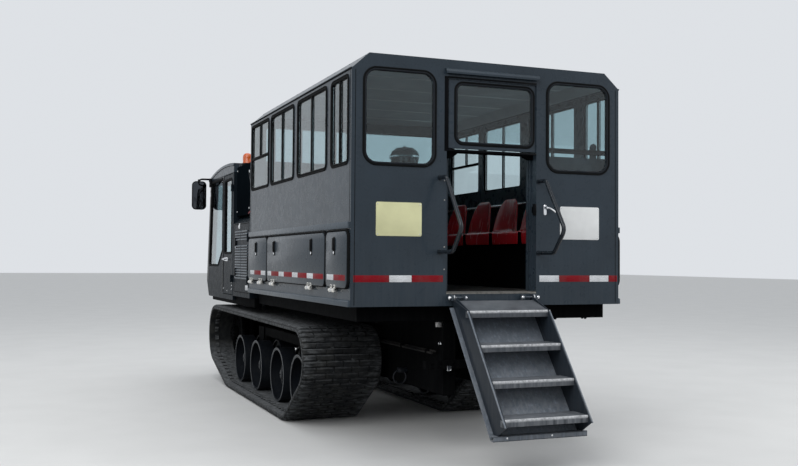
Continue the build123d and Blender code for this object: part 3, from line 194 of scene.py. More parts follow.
def rubberMaterial(name, colour, dustColour, dust, grainScale=240):
    material, tree, shader, place = startMaterial(name, roughness=0.72, specular=0.08)
    patches = multiply(tree, remap(tree, noise(tree, place, 6, 6), 0.35, 0.7), dust)
    grain = noise(tree, place, grainScale, 4)
    feed(tree, shader, blendColour(tree, patches, colour, dustColour), remap(tree, grain, 0.3, 0.7, 0.62, 0.9))
    addBump(tree, shader, grain, 0.35, 0.001)
    return material


def plasticMaterial(name, colour, roughness, coat=0.0, grainScale=320, grain=0.12, scuff=0.3, specular=0.4):
    material, tree, shader, place = startMaterial(name, roughness=roughness, coat=coat, specular=specular)
    worn = remap(tree, noise(tree, stretched(tree, place, (1, 5, 1)), 8, 6), 0.55, 0.75)
    worn = multiply(tree, worn, scuff)
    clouds = remap(tree, noise(tree, place, 3, 4), 0.3, 0.7)
    shade = blendColour(tree, clouds, scaled(colour, 0.85), scaled(colour, 1.1))
    pale = tuple(min(1, part * 0.8 + 0.12) for part in colour)
    rough = remap(tree, worn, 0, 1, roughness, min(1, roughness + 0.4))
    feed(tree, shader, blendColour(tree, worn, shade, pale), rough)
    addBump(tree, shader, noise(tree, place, grainScale, 3), grain, 0.0005)
    return material


def trackMaterial():
    material, tree, shader, place = startMaterial("trackRubber", roughness=0.8, specular=0.2)
    rubber, earth, rubbedAndLit = (0.0042, 0.0052, 0.0062), (0.040, 0.040, 0.037), (0.150, 0.158, 0.165)
    patches = multiply(tree, remap(tree, noise(tree, place, 11, 7), 0.42, 0.68), 0.55)
    soiled = blendColour(tree, patches, rubber, earth)
    streaks = noise(tree, stretched(tree, place, (5, 16, 16)), 2.4, 5, 0.7)
    # the lighter rubbed colour goes where the rubber is marked worn: real wear on the belt's edges, and on the
    # lug tips wear together with a painted highlight
    wornAndLitShare = multiply(tree, wearAndHighlightShare(tree), remap(tree, streaks, 0.42, 0.66, 0.03, 0.9))
    # faces that look up are made lighter as well: a painted highlight
    above = remap(tree, upward(tree), 0.35, 0.95, 0.0, 0.8)
    above = multiply(tree, above, remap(tree, noise(tree, place, 26, 5), 0.34, 0.66, 0.25, 1.0))
    wornAndLitShare = combine(tree, "MAXIMUM", wornAndLitShare, above)
    grain = noise(tree, place, 150, 5)
    feed(tree, shader, blendColour(tree, wornAndLitShare, soiled, rubbedAndLit), remap(tree, grain, 0.3, 0.7, 0.66, 0.92))
    addBump(tree, shader, grain, 0.45, 0.0015)
    return material


def glassMaterial(name, tint):
    material, tree, shader, place = startMaterial(name, roughness=0.03)
    shader.inputs["Transmission Weight"].default_value = 1.0
    shader.inputs["IOR"].default_value = 1.45
    film = remap(tree, noise(tree, place, 2.4, 6), 0.4, 0.75, 0.0, 1.0)
    feed(tree, shader, blendColour(tree, film, tint, scaled(tint, 0.93)), remap(tree, film, 0, 1, 0.015, 0.06))
    return material


def tapeMaterial(name, colour):
    material, tree, shader, place = startMaterial(name, roughness=0.5, specular=0.12)
    cells = tree.nodes.new("ShaderNodeTexVoronoi")
    cells.feature = "DISTANCE_TO_EDGE"
    cells.inputs["Scale"].default_value = 190
    tree.links.new(place, cells.inputs["Vector"])
    wall = remap(tree, cells.outputs["Distance"], 0.02, 0.12)
    dirt = remap(tree, noise(tree, place, 9, 6), 0.45, 0.75, 0, 0.3)
    tape = blendColour(tree, wall, scaled(colour, 0.72), colour)
    feed(tree, shader, blendColour(tree, dirt, tape, (0.12, 0.11, 0.10)))
    addBump(tree, shader, cells.outputs["Distance"], 0.3, 0.0004)
    return material


def lensMaterial(name, colour, transmission):
    material, tree, shader, place = startMaterial(name, roughness=0.12, coat=0.5)
    shader.inputs["Transmission Weight"].default_value = transmission
    ribs = waves(tree, place, 60)
    feed(tree, shader, blendColour(tree, remap(tree, ribs, 0, 1), scaled(colour, 0.7), colour))
    addBump(tree, shader, ribs, 0.25, 0.002)
    return material


def clothMaterial(name, colour):
    material, tree, shader, place = startMaterial(name, roughness=0.9)
    shader.inputs["Sheen Weight"].default_value = 0.3
    weave = multiply(tree, waves(tree, place, 130), waves(tree, place, 130, "DIAGONAL"))
    feed(tree, shader, blendColour(tree, weave, colour, scaled(colour, 1.7)))
    addBump(tree, shader, weave, 0.4, 0.0012)
    return material


slate = (0.0275, 0.0395, 0.0520)  # the machine's paint
looks = {
    "body": paintMaterial("bodyPaint", slate, dust=0.15, peel=0.03, streak=0.04, specular=0.17),
    # a lighter copy of the machine's paint with more dust, for rails, louvre blades and thin edge strips: a
    # painted highlight together with dust
    "rail": paintMaterial("bodyPaintLitCopy", scaled(slate, 1.5), dust=0.35, streak=0.15),
    "bodyDark": paintMaterial("cabPaint", scaled(slate, 0.34), dust=0.04, peel=0.03, streak=0.05, specular=0.02,
                              coat=0.0),
    "blackPaint": paintMaterial("blackPaint", (0.0035, 0.0055, 0.0075), dust=0.02, roughness=0.6, specular=0.0,
                                coat=0.0, streak=0.03),
    "frame": paintMaterial("framePaint", (0.0022, 0.0025, 0.003), dust=0.09, roughness=0.6, coat=0.0,
                           specular=0.01, dustColour=(0.05, 0.048, 0.045), dustTop=1.4, streak=0.1),
    "wheel": paintMaterial("wheelPaint", (0.0065, 0.0085, 0.012), dust=0.14, roughness=0.4,
                           dustColour=(0.05, 0.05, 0.05), dustTop=1.0, specular=0.14),
    "stair": paintMaterial("stairPaint", (0.046, 0.058, 0.072), dust=0.45, roughness=0.34,
                           dustColour=(0.20, 0.205, 0.21), dustTop=1.3, streak=0.75),
    # a lighter copy of the stair paint for the back sheet, the flanges and the foot: painted light
    "stairPaintLit": paintMaterial("stairPaintLitCopy", (0.120, 0.140, 0.165), dust=0.5, roughness=0.34,
                                dustColour=(0.26, 0.27, 0.285), dustTop=1.3, streak=0.6),
    "tread": paintMaterial("treadPaint", (0.050, 0.057, 0.066), dust=0.62, roughness=0.38, dustTop=1.3,
                           streak=0.6, dustColour=(0.25, 0.262, 0.28), wornColour=(0.80, 0.81, 0.82)),
    # a darker copy of the stair paint for the side sheets: painted shade
    "stairPaintShaded": paintMaterial("stairPaintShadedCopy", (0.016, 0.022, 0.030), dust=0.2, roughness=0.34, dustTop=1.3,
                               dustColour=(0.10, 0.105, 0.11), wornColour=(0.22, 0.24, 0.27), specular=0.15),
    "handle": paintMaterial("handlePaint", (0.010, 0.014, 0.019), dust=0.1, roughness=0.22, coat=0.3),
    "track": trackMaterial(),
    # a lighter grey copy of the seal rubber for the rear seals' inner lips: a painted sheen
    "sealSheen": rubberMaterial("sealRubberSheenCopy", (0.016, 0.019, 0.023), (0.030, 0.031, 0.033), 0.3, 420),
    "seal": rubberMaterial("sealRubber", (0.0035, 0.004, 0.0045), (0.016, 0.0155, 0.015), 0.25, 420),
    "hose": rubberMaterial("hoseRubber", (0.012, 0.012, 0.013), (0.06, 0.055, 0.05), 0.5, 300),
    "mat": rubberMaterial("floorMat", (0.020, 0.021, 0.023), (0.10, 0.095, 0.085), 0.5, 160),
    "glass": glassMaterial("windowGlass", (0.56, 0.69, 0.72)),
    "rim": metalMaterial("rimSteel", (0.13, 0.14, 0.15), 0.45, (1, 6, 6), 0.7),
    "bright": metalMaterial("brightSteel", (0.72, 0.73, 0.74), 0.22, (1, 12, 1)),
    "chrome": metalMaterial("chrome", (0.80, 0.81, 0.83), 0.08, (1, 1, 1), 0.15),
    "bare": metalMaterial("bareSteel", (0.42, 0.41, 0.40), 0.42, (1, 6, 1), 0.6),
    "aluminium": metalMaterial("aluminium", (0.62, 0.63, 0.64), 0.36, (12, 1, 1), 0.3),
    "hinge": metalMaterial("hingeSteel", (0.90, 0.88, 0.82), 0.30, (1, 8, 1), 0.25),
    "sill": metalMaterial("sillAluminium", (0.30, 0.29, 0.27), 0.42, (12, 1, 1), 0.7),
    "mirror": metalMaterial("mirrorGlass", (0.055, 0.060, 0.068), 0.05, (1, 1, 1), 0.05),
    "seat": plasticMaterial("seatPlastic", (0.42, 0.012, 0.018), 0.24, 0.35, 300, 0.05, 0.25),
    "trim": plasticMaterial("trimPlastic", (0.006, 0.0065, 0.0075), 0.45, 0.0, 260, 0.25, 0.06, 0.05),
    "blackGloss": plasticMaterial("blackGloss", (0.0025, 0.003, 0.004), 0.2, 0.0, 300, 0.02, 0.02, 0.05),
    "liner": plasticMaterial("ceilingLiner", (0.40, 0.42, 0.43), 0.6, 0.0, 40, 0.02, 0.05),
    "yellowPlate": plasticMaterial("yellowPlate", (0.74, 0.73, 0.42), 0.42, 0.1, 90, 0.05, 0.25),
    "whitePlate": plasticMaterial("whitePlate", (0.78, 0.79, 0.78), 0.42, 0.1, 90, 0.05, 0.25),
    "amber": lensMaterial("amberLens", (0.80, 0.13, 0.004), 0.2),
    "lamp": lensMaterial("lampLens", (0.86, 0.87, 0.88), 0.5),
    "redTape": tapeMaterial("redTape", (0.24, 0.0045, 0.011)),
    "whiteTape": tapeMaterial("whiteTape", (0.78, 0.80, 0.82)),
    "cloth": clothMaterial("seatCloth", (0.014, 0.014, 0.016)),
}

# the record's slot for each finish; tape, sign plates and mirror glass have none
slotLooks = {
    "body_paint": ("body", "rail"),
    "stair_paint": ("stair", "stairPaintLit", "stairPaintShaded", "tread"),
    "dark_steel": ("frame", "blackPaint", "hose"),
    "bright_steel": ("bright", "chrome", "bare", "aluminium", "hinge", "sill"),
    "handle_steel": ("handle",),
    "wheel_steel": ("wheel", "rim"),
    "track_rubber": ("track",),
    "seal_rubber": ("seal", "sealSheen", "mat"),
    "trim_plastic": ("trim", "blackGloss", "liner"),
    "seat_plastic": ("seat",),
    "cab_seat_cloth": ("cloth",),
    "beacon_lens": ("amber",),
    "lamp_lens": ("lamp",),
}
slotOf = {look: slot for slot, names in slotLooks.items() for look in names}

# finishes of the CAD nodes; a star stands for left and right
cadLooks = {
    "body": "cabin_roof cabin_wall_rear cabin_wall_front cabin_wall_* transom_panel entry_door cab_roof "
            "locker_door_rear_* locker_door_middle_* locker_door_front_*",
    "bodyDark": "engine_bay engine_door_* cab_body cab_door_*",
    "frame": "chassis_frame track_frame_* bogies_* front_bumper door_track sprocket_* cabin_floor "
             "locker_box_* engine_block",
    "wheel": "road_wheels_* idler_*",
    "track": "track_*",
    "seal": "window_seals",
    "glass": "cabin_glass cab_glass cab_door_glass_*",
    "bright": "locker_hinges stair_hinges seat_rails",
    "handle": "grab_handles",
    "stair": "stairs",
    "seat": "seats_*",
    "trim": "air_cleaner cab_console mirrors cooler_box",
    "cloth": "cab_seat",
    "amber": "beacon",
    "lamp": "headlamps",
}
for look, names in cadLooks.items():
    for name in sorted({name.replace("*", side) for name in names.split() for side in ("left", "right")}):
        if not nodes[name].material_slots:
            nodes[name].data.materials.append(looks[look])
        for slot in nodes[name].material_slots:
            slot.material = looks[look]
print("materials:", len(looks))

# mesh helpers; "ahead" is counted from the cabin's rear face towards the front
def at(x, ahead, z):
    return Vector((x, rearFace + ahead, z))


def meshOf(bm):
    mesh = bpy.data.meshes.new("work")
    bm.to_mesh(mesh)
    bm.free()
    return mesh


# writes the worn attribute: real wear, and on the lug tips a painted highlight as well
def markWearAndHighlight(mesh, worn):
    layer = mesh.attributes.new("worn", "FLOAT", "POINT")
    layer.data.foreach_set("value", [worn(vert.co) for vert in mesh.vertices])
    return mesh


def finishPiece(name, made, look, body="carrier", slot=None, replaces=(), smooth=35):
    # made is a mesh, or the bmesh that it was modelled in
    mesh = meshOf(made) if isinstance(made, bmesh.types.BMesh) else made
    bm = bmesh.new()
    bm.from_mesh(mesh)
    bmesh.ops.remove_doubles(bm, verts=bm.verts, dist=0.00002)
    bmesh.ops.recalc_face_normals(bm, faces=bm.faces)
    bm.to_mesh(mesh)
    bm.free()
    mesh.name = name
    if not mesh.materials:
        mesh.materials.append(looks[look])
    piece = bpy.data.objects.new(name, mesh)
    bpy.context.scene.collection.objects.link(piece)
    mesh.shade_smooth()
    mesh.set_sharp_from_angle(angle=radians(smooth))
    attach(piece, body)
    slot = slot or slotOf.get(look)
    if replaces:
        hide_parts(*replaces)
    return piece


def soften(bm, edges, offset, segments=2):
    bmesh.ops.bevel(bm, geom=list(edges), offset=offset, segments=segments, profile=0.5, affect="EDGES")


def addBox(bm, low, high, bevel=0.0, segments=2):
    size = [abs(high[i] - low[i]) for i in range(3)]
    middle = [(high[i] + low[i]) / 2 for i in range(3)]
    made = bmesh.ops.create_cube(bm, size=1.0, matrix=Matrix.Translation(middle) @ Matrix.Diagonal((*size, 1)))
    if bevel:
        edges = {edge for vert in made["verts"] for edge in vert.link_edges}
        soften(bm, edges, min(bevel, min(size) * 0.45), segments)


def addBlock(bm, across, ahead, up, bevel=0.0, segments=2):
    # box between two places across, ahead and up, each pair in any order
    low, high = zip(sorted(across), sorted(rearFace + y for y in ahead), sorted(up))
    addBox(bm, low, high, bevel, segments)


def joinRings(bm, rings, closed=False, capped=False):
    # faces between rings of points; closed joins the last to the first, capped fills both ends
    count = len(rings[0])
    for first, second in list(zip(rings, rings[1:])) + ([(rings[-1], rings[0])] if closed else []):
        for k in range(count):
            n = (k + 1) % count
            bm.faces.new((first[k], first[n], second[n], second[k]))
    if capped:
        bm.faces.new(list(reversed(rings[0])))
        bm.faces.new(rings[-1])


def addPrism(bm, outline, place, bevel=0.0):
    # place turns (a, b, end) of the outline and its two ends into a point
    ends = []
    for end in (0, 1):
        ends.append([bm.verts.new(place(a, b, end)) for a, b in outline])
    count = len(outline)
    faces = [bm.faces.new(ends[0]), bm.faces.new(list(reversed(ends[1])))]
    for i in range(count):
        j = (i + 1) % count
        faces.append(bm.faces.new((ends[0][i], ends[1][i], ends[1][j], ends[0][j])))
    if bevel:
        soften(bm, {edge for face in faces[:2] for edge in face.edges}, bevel)


def addRound(bm, start, end, radius, sides=20, bevel=0.0, endRadius=None):
    start, end = Vector(start), Vector(end)
    axis = end - start
    turn = axis.to_track_quat("Z", "Y").to_matrix().to_4x4()
    made = bmesh.ops.create_cone(bm, cap_ends=True, segments=sides, radius1=radius,
                                 radius2=radius if endRadius is None else endRadius, depth=axis.length,
                                 matrix=Matrix.Translation((start + end) / 2) @ turn)
    if bevel:
        caps = {face for vert in made["verts"] for face in vert.link_faces if len(face.verts) > 4}
        soften(bm, {edge for face in caps for edge in face.edges}, bevel)


def addTube(bm, points, radius, sides=12):
    # tube along points, closed at both ends
    points = [Vector(point) for point in points]
    rings = []
    side = None
    for i, point in enumerate(points):
        ahead = (points[min(i + 1, len(points) - 1)] - points[max(i - 1, 0)]).normalized()
        if side is None:
            side = ahead.orthogonal().normalized()
        side = (side - ahead * side.dot(ahead)).normalized()
        up = ahead.cross(side)
        rings.append([bm.verts.new(point + radius * (cos(a) * side + sin(a) * up))
                      for a in (2 * pi * k / sides for k in range(sides))])
    joinRings(bm, rings, capped=True)


def smoothPath(points, cuts=8):
    # Catmull-Rom line through the points
    points = [Vector(point) for point in points]
    padded = [points[0] * 2 - points[1]] + points + [points[-1] * 2 - points[-2]]
    line = []
    for a, b, c, d in zip(padded, padded[1:], padded[2:], padded[3:]):
        for k in range(cuts):
            t = k / cuts
            line.append(0.5 * ((2 * b) + (c - a) * t + (2 * a - 5 * b + 4 * c - d) * t ** 2
                               + (3 * b - a - 3 * c + d) * t ** 3))
    line.append(points[-1])
    return line


def roundedLoop(low, high, bottom, top, radius, steps=8):
    # points and outward directions round a rectangle with round corners
    line = []
    for corner, (a, b) in enumerate(((high, top), (low, top), (low, bottom), (high, bottom))):
        sideways = -1 if a == high else 1
        upwards = -1 if b == top else 1
        centre = (a + sideways * radius, b + upwards * radius)
        for k in range(steps + 1):
            angle = corner * pi / 2 + k / steps * pi / 2
            line.append(((centre[0] + radius * cos(angle), centre[1] + radius * sin(angle)),
                         (cos(angle), sin(angle))))
    return line


def addRing(bm, loop, profile, place):
    # profile points are (outward, proud); place turns (a, b, proud) into a point
    rings = [[bm.verts.new(place(a + outA * out, b + outB * out, proud)) for out, proud in profile]
             for (a, b), (outA, outB) in loop]
    joinRings(bm, rings, closed=True)


def sidePlane(sign, half=halfWidth):
    return lambda a, b, proud: at(sign * (half + proud), a, b)


def endPlane(y, sign):
    return lambda a, b, proud: Vector((a, y + sign * proud, b))


def addPlate(bm, loop, profile, place):
    # closed plate: rings along the profile, with both ends filled
    rings = [[bm.verts.new(place(a + outA * out, b + outB * out, proud)) for (a, b), (outA, outB) in loop]
             for out, proud in profile]
    joinRings(bm, rings, capped=True)


def roundBar(radius, thick, sides, along=0.0):
    # profile for addLathe of a bar bent to a ring
    turns = [2 * pi * k / sides for k in range(sides)]
    return [(radius + thick * cos(a), along + thick * sin(a)) for a in turns]


def addLathe(bm, profile, centre, axis, sides=32, closed=False):
    # profile points are (radius, distance along the axis); a radius of 0 closes an end
    axis = Vector(axis).normalized()
    side = axis.orthogonal().normalized()
    up = axis.cross(side)
    rings = []
    for radius, along in profile:
        middle = Vector(centre) + axis * along
        turns = [2 * pi * k / sides for k in range(sides)] if radius else [0]
        rings.append([bm.verts.new(middle + radius * (cos(a) * side + sin(a) * up)) for a in turns])
    pairs = list(zip(rings, rings[1:]))
    if closed:
        pairs.append((rings[-1], rings[0]))
    for first, second in pairs:
        for k in range(sides):
            n = (k + 1) % sides
            if len(first) == 1:
                bm.faces.new((first[0], second[n], second[k]))
            elif len(second) == 1:
                bm.faces.new((first[k], first[n], second[0]))
            else:
                bm.faces.new((first[k], first[n], second[n], second[k]))


# Geometry Nodes: one item on each place, turned by the place's own directions
def itemTree():
    tree = bpy.data.node_groups.new("itemsOnPlaces", "GeometryNodeTree")
    for name, kind in (("Places", "Geometry"), ("Item", "Object"), ("Item Size", "Float"),
                       ("Turn Spread", "Float"), ("Seed", "Int"), ("Finish", "Material")):
        tree.interface.new_socket(name, in_out="INPUT", socket_type="NodeSocket" + kind)
    tree.interface.new_socket("Items", in_out="OUTPUT", socket_type="NodeSocketGeometry")
    make, link = tree.nodes.new, tree.links.new
    given = make("NodeGroupInput").outputs
    directions = []
    for name in ("outward", "along"):
        read = make("GeometryNodeInputNamedAttribute")
        read.data_type = "FLOAT_VECTOR"
        read.inputs["Name"].default_value = name
        directions.append(read.outputs["Attribute"])
    upright = make("FunctionNodeAlignRotationToVector")
    upright.axis = "Z"
    link(directions[0], upright.inputs["Vector"])
    turned = make("FunctionNodeAlignRotationToVector")
    turned.axis = "Y"
    turned.pivot_axis = "Z"
    link(upright.outputs[0], turned.inputs["Rotation"])
    link(directions[1], turned.inputs["Vector"])
    chance = make("FunctionNodeRandomValue")
    for socket in chance.inputs:
        if socket.name == "Min" and socket.type == "VALUE":
            socket.default_value = 0.0
        if socket.name == "Max" and socket.type == "VALUE":
            link(given["Turn Spread"], socket)
        if socket.name == "Seed":
            link(given["Seed"], socket)
    loose = make("FunctionNodeAxisAngleToRotation")
    loose.inputs["Axis"].default_value = (0, 0, 1)
    link([socket for socket in chance.outputs if socket.type == "VALUE"][0], loose.inputs["Angle"])
    both = make("FunctionNodeRotateRotation")
    both.rotation_space = "LOCAL"
    link(turned.outputs[0], both.inputs["Rotation"])
    link(loose.outputs[0], both.inputs["Rotate By"])
    source = make("GeometryNodeObjectInfo")
    link(given["Item"], source.inputs["Object"])
    copies = make("GeometryNodeInstanceOnPoints")
    link(given["Places"], copies.inputs["Points"])
    link(source.outputs["Geometry"], copies.inputs["Instance"])
    link(both.outputs[0], copies.inputs["Rotation"])
    link(given["Item Size"], copies.inputs["Scale"])
    real = make("GeometryNodeRealizeInstances")
    link(copies.outputs[0], real.inputs[0])
    finish = make("GeometryNodeSetMaterial")
    link(real.outputs[0], finish.inputs["Geometry"])
    link(given["Finish"], finish.inputs["Material"])
    link(finish.outputs[0], make("NodeGroupOutput").inputs[0])
    return tree


itemsOnPlaces = itemTree()


def spread(name, item, places, look, body="carrier", slot=None, turn=0.0, smooth=35):
    # places are (point, outward direction, direction along); turn is the widest random turn
    mesh = bpy.data.meshes.new("places")
    mesh.from_pydata([tuple(place[0]) for place in places], [], [])
    for index, label in ((1, "outward"), (2, "along")):
        layer = mesh.attributes.new(label, "FLOAT_VECTOR", "POINT")
        layer.data.foreach_set("vector", [part for place in places for part in place[index]])
    host = bpy.data.objects.new("host", mesh)
    itemObject = bpy.data.objects.new("item", item)
    for made in (host, itemObject):
        bpy.context.scene.collection.objects.link(made)
    modifier = host.modifiers.new("items", "NODES")
    modifier.node_group = itemsOnPlaces
    values = {"Item": itemObject, "Item Size": 1.0, "Turn Spread": turn, "Seed": 3, "Finish": looks[look]}
    for socket in itemsOnPlaces.interface.items_tree:
        if socket.in_out == "INPUT" and socket.name in values:
            modifier[socket.identifier] = values[socket.name]
    host.update_tag()
    seen = host.evaluated_get(bpy.context.evaluated_depsgraph_get())
    result = bpy.data.meshes.new_from_object(seen)
    host.modifiers.clear()
    for made in (host, itemObject):
        bpy.data.objects.remove(made)
    finishPiece(name, result, look, body, slot, smooth=smooth)


def boltItem(radius, height, sides=6, washer=1.45):
    # head on a washer, standing on its own origin
    bm = bmesh.new()
    addRound(bm, (0, 0, -0.0006), (0, 0, height * 0.28), radius * washer, 14)
    addRound(bm, (0, 0, height * 0.2), (0, 0, height), radius, sides, min(radius, height) * 0.16)
    return meshOf(bm)


def screwItem(radius, height):
    bm = bmesh.new()
    addLathe(bm, ((0, -0.0005), (radius, -0.0005), (radius, height * 0.35), (radius * 0.8, height * 0.8),
                  (radius * 0.42, height), (radius * 0.36, height * 0.62), (0, height * 0.55)),
             (0, 0, 0), (0, 0, 1), 12)
    return meshOf(bm)


def circlePlaces(centre, sign, out, circle, count, shift=0.0):
    # places round a circle on a face that looks to one side, for spread
    turns = [2 * pi * (k + shift) / count for k in range(count)]
    return [(Vector(centre) + Vector((sign * out, circle * cos(a), circle * sin(a))), (sign, 0, 0),
             (0, cos(a), sin(a))) for a in turns]


def roundedPolygon(corners, radius, steps=6):
    # points and outward directions round a convex polygon, counted counter-clockwise
    line = []
    for i, corner in enumerate(corners):
        before, here, after = Vector(corners[i - 1]), Vector(corner), Vector(corners[(i + 1) % len(corners)])
        coming, going = (here - before).normalized(), (after - here).normalized()
        first = atan2(-coming.x, coming.y)
        turn = (atan2(-going.x, going.y) - first) % (2 * pi)
        centre = here - coming * radius * tan(turn / 2) - radius * Vector((cos(first), sin(first)))
        for k in range(steps + 1):
            a = first + turn * k / steps
            line.append(((centre.x + radius * cos(a), centre.y + radius * sin(a)), (cos(a), sin(a))))
    return line


def addCushion(bm, low, high, squareness, creases, cuts=26):
    # rounded closed pad, alone in its mesh; creases are (axis across the seam, place along it, depth,
    # axis of the face that they are pressed into)
    middle = [(high[i] + low[i]) / 2 for i in range(3)]
    half = [(high[i] - low[i]) / 2 for i in range(3)]
    made = bmesh.ops.create_cube(bm, size=2.0)
    edges = list({edge for vert in made["verts"] for edge in vert.link_edges})
    bmesh.ops.subdivide_edges(bm, edges=edges, cuts=cuts, use_grid_fill=True)
    for vert in bm.verts:
        size = sum(abs(part) ** squareness for part in vert.co) ** (-1 / squareness)
        spot = [middle[i] + half[i] * vert.co[i] * size for i in range(3)]
        for across, place, depth, pressed in creases:
            if vert.co[pressed] > 0.2:
                spot[pressed] -= depth * exp(-((spot[across] - place) / 0.008) ** 2)
        vert.co = spot

# window seals
windows = {
    # start, end, height of a cross bar
    "side": ((0.070, 0.475, 0), (0.605, 1.435, 0), (1.570, 2.370, 0), (2.470, 3.180, 2.480)),
    "sill": 2.170,
    "head": 2.815,
    "sideCorner": 0.045,
    "rear": (0.484, 1.044, 2.165, 2.868),
    "rearCorner": 0.095,
    "front": (0.080, 1.000, 2.200, 2.840),
    "frontAhead": 3.240,
    "transom": (-0.305, 0.359, 2.348, 2.808),
    "transomCorner": 0.060,
    "transomAhead": 0.012,
    # outward, proud: inner lip and outer bead, in one on the sides and the front
    "lip": ((-0.0155, -0.026), (-0.0155, 0.001), (-0.013, 0.006), (-0.008, 0.0085), (-0.003, 0.0075),
            (-0.001, 0.0045)),
    "bead": ((0.001, 0.0045), (0.003, 0.0075), (0.009, 0.0085), (0.0135, 0.005), (0.0145, 0.0006)),
    "root": (-0.0004, -0.026, 0.0006),  # inner end: outward, and its two depths
    "split": (-0.0002, 0.0045, 0.0006),  # where the rear seals' bead starts
    "barHalf": 0.013,
    "barDepth": (-0.022, 0.004),
    "barInset": 0.014,
}
out, deep, skin = windows["root"]
wholeSeal = ((out, deep), *windows["lip"], *windows["bead"], (out, skin))
lipSeal = ((out, deep), *windows["lip"], (out, windows["bead"][0][1]))
out, over, under = windows["split"]
beadSeal = ((out, over), *windows["bead"], (out, under))
bm, lips = bmesh.new(), bmesh.new()


# rear seals: the inner lip is a separate piece in the lighter grey rubber, a painted sheen; the bead stays
# black
def addRearSeal(low, high, bottom, top, corner, ahead):
    loop = roundedLoop(low, high, bottom, top, corner, 12)
    addRing(lips, loop, lipSeal, endPlane(rearFace + ahead, -1))
    addRing(bm, loop, beadSeal, endPlane(rearFace + ahead, -1))


for sign in (-1, 1):
    half, inset, corner = windows["barHalf"], windows["barInset"], windows["sideCorner"]
    across = [sign * (halfWidth + out) for out in windows["barDepth"]]
    sill, head = windows["sill"], windows["head"]
    for start, end, crossBar in windows["side"]:
        addRing(bm, roundedLoop(start, end, sill, head, corner), wholeSeal, sidePlane(sign))
        middle = (start + end) / 2
        foot = crossBar or sill
        addBlock(bm, across, (middle - half, middle + half), (foot + half, head - inset), 0.003)
        if crossBar:
            addBlock(bm, across, (start + inset, end - inset), (crossBar - half, crossBar + half), 0.003)
    inner, outer, bottom, top = windows["rear"]
    addRearSeal(*sorted((sign * inner, sign * outer)), bottom, top, windows["rearCorner"], 0)
    inner, outer, bottom, top = windows["front"]
    addRing(bm, roundedLoop(*sorted((sign * inner, sign * outer)), bottom, top, corner), wholeSeal,
            endPlane(rearFace + windows["frontAhead"], 1))
addRearSeal(*windows["transom"], windows["transomCorner"], windows["transomAhead"])
finishPiece("gaskets", bm, "seal", replaces=("window_seals",))
finishPiece("gasketLips", lips, "sealSheen")
print("window seals done")

# cabin skin: skirt, drip and belt rails, corner seams and roof rivets
cabin = {
    "length": 3.240,
    # height, out
    "skirt": ((1.166, 0.0), (1.160, 0.014), (1.156, 0.018), (1.124, 0.0195), (1.1175, 0.017), (1.1175, 0.0)),
    "drip": ((2.864, 0), (2.862, 0.009), (2.86, 0.0105), (2.8575, 0.0105), (2.856, 0.008), (2.856, 0)),
    "dripSeal": ((2.8562, 0.0), (2.8562, 0.007), (2.8500, 0.0062), (2.8490, 0.0)),
    "railEnd": 0.002,
    "seams": (0.026, 3.214),
    "seamHalf": 0.0022,
    "seamRun": (1.740, 2.846),
    "seam": ((0, 0.0001), (0, 0.0008), (-0.0008, 0.0014)),
    "beltRail": ((0.0125, 0.0172), (0.012, 3.228), (1.6885, 1.7365)),  # out, ahead, up
    "eaves": 2.857,
    "roofTop": 2.978,
    "slopeRun": 0.136,
    "rivetPitch": 0.180,
    "rivetEnd": 0.04,
    "rivetRows": (0.12, 0.88),  # share of the slope
}


def addSeam(bm, low, high, bottom, top, plane):
    addPlate(bm, roundedLoop(low, high, bottom, top, (high - low) * 0.45, 3), cabin["seam"], plane)


bm, seal, belts, rivets = bmesh.new(), bmesh.new(), bmesh.new(), []
rise, slopeRun, rivetEnd = cabin["roofTop"] - cabin["eaves"], cabin["slopeRun"], cabin["rivetEnd"]
slopeOut = Vector((rise, 0, slopeRun)).normalized()
rivetRun = cabin["length"] - 2 * rivetEnd
rivetCount = int(rivetRun / cabin["rivetPitch"])
for sign in (-1, 1):
    ends = (cabin["railEnd"], cabin["length"] - cabin["railEnd"])
    along = lambda b, out, end: at(sign * (halfWidth + out), ends[end], b)
    addPrism(bm, cabin["skirt"], along, 0.0012)
    addPrism(bm, cabin["drip"], along, 0.0008)
    addPrism(seal, cabin["dripSeal"], along, 0.0)
    for y in cabin["seams"]:
        addSeam(seal, y - cabin["seamHalf"], y + cabin["seamHalf"], *cabin["seamRun"], sidePlane(sign))
    outs, ahead, up = cabin["beltRail"]
    addBlock(belts, [sign * (halfWidth + out) for out in outs], ahead, up, 0.0045, 3)
    for share in cabin["rivetRows"]:
        x, z = sign * (halfWidth - share * slopeRun), cabin["eaves"] + share * rise
        for k in range(rivetCount + 1):
            rivets.append((at(x, rivetEnd + k * rivetRun / rivetCount, z), (sign * slopeOut.x, 0, slopeOut.z),
                           (0, 1, 0)))
# the skirt, drip and belt rails take the lighter rail paint, a painted highlight
finishPiece("edgeRails", bm, "rail")
finishPiece("dripSeals", seal, "seal")
finishPiece("beltRails", belts, "rail")
spread("roofRivets", screwItem(0.0055, 0.0022), rivets, "body")

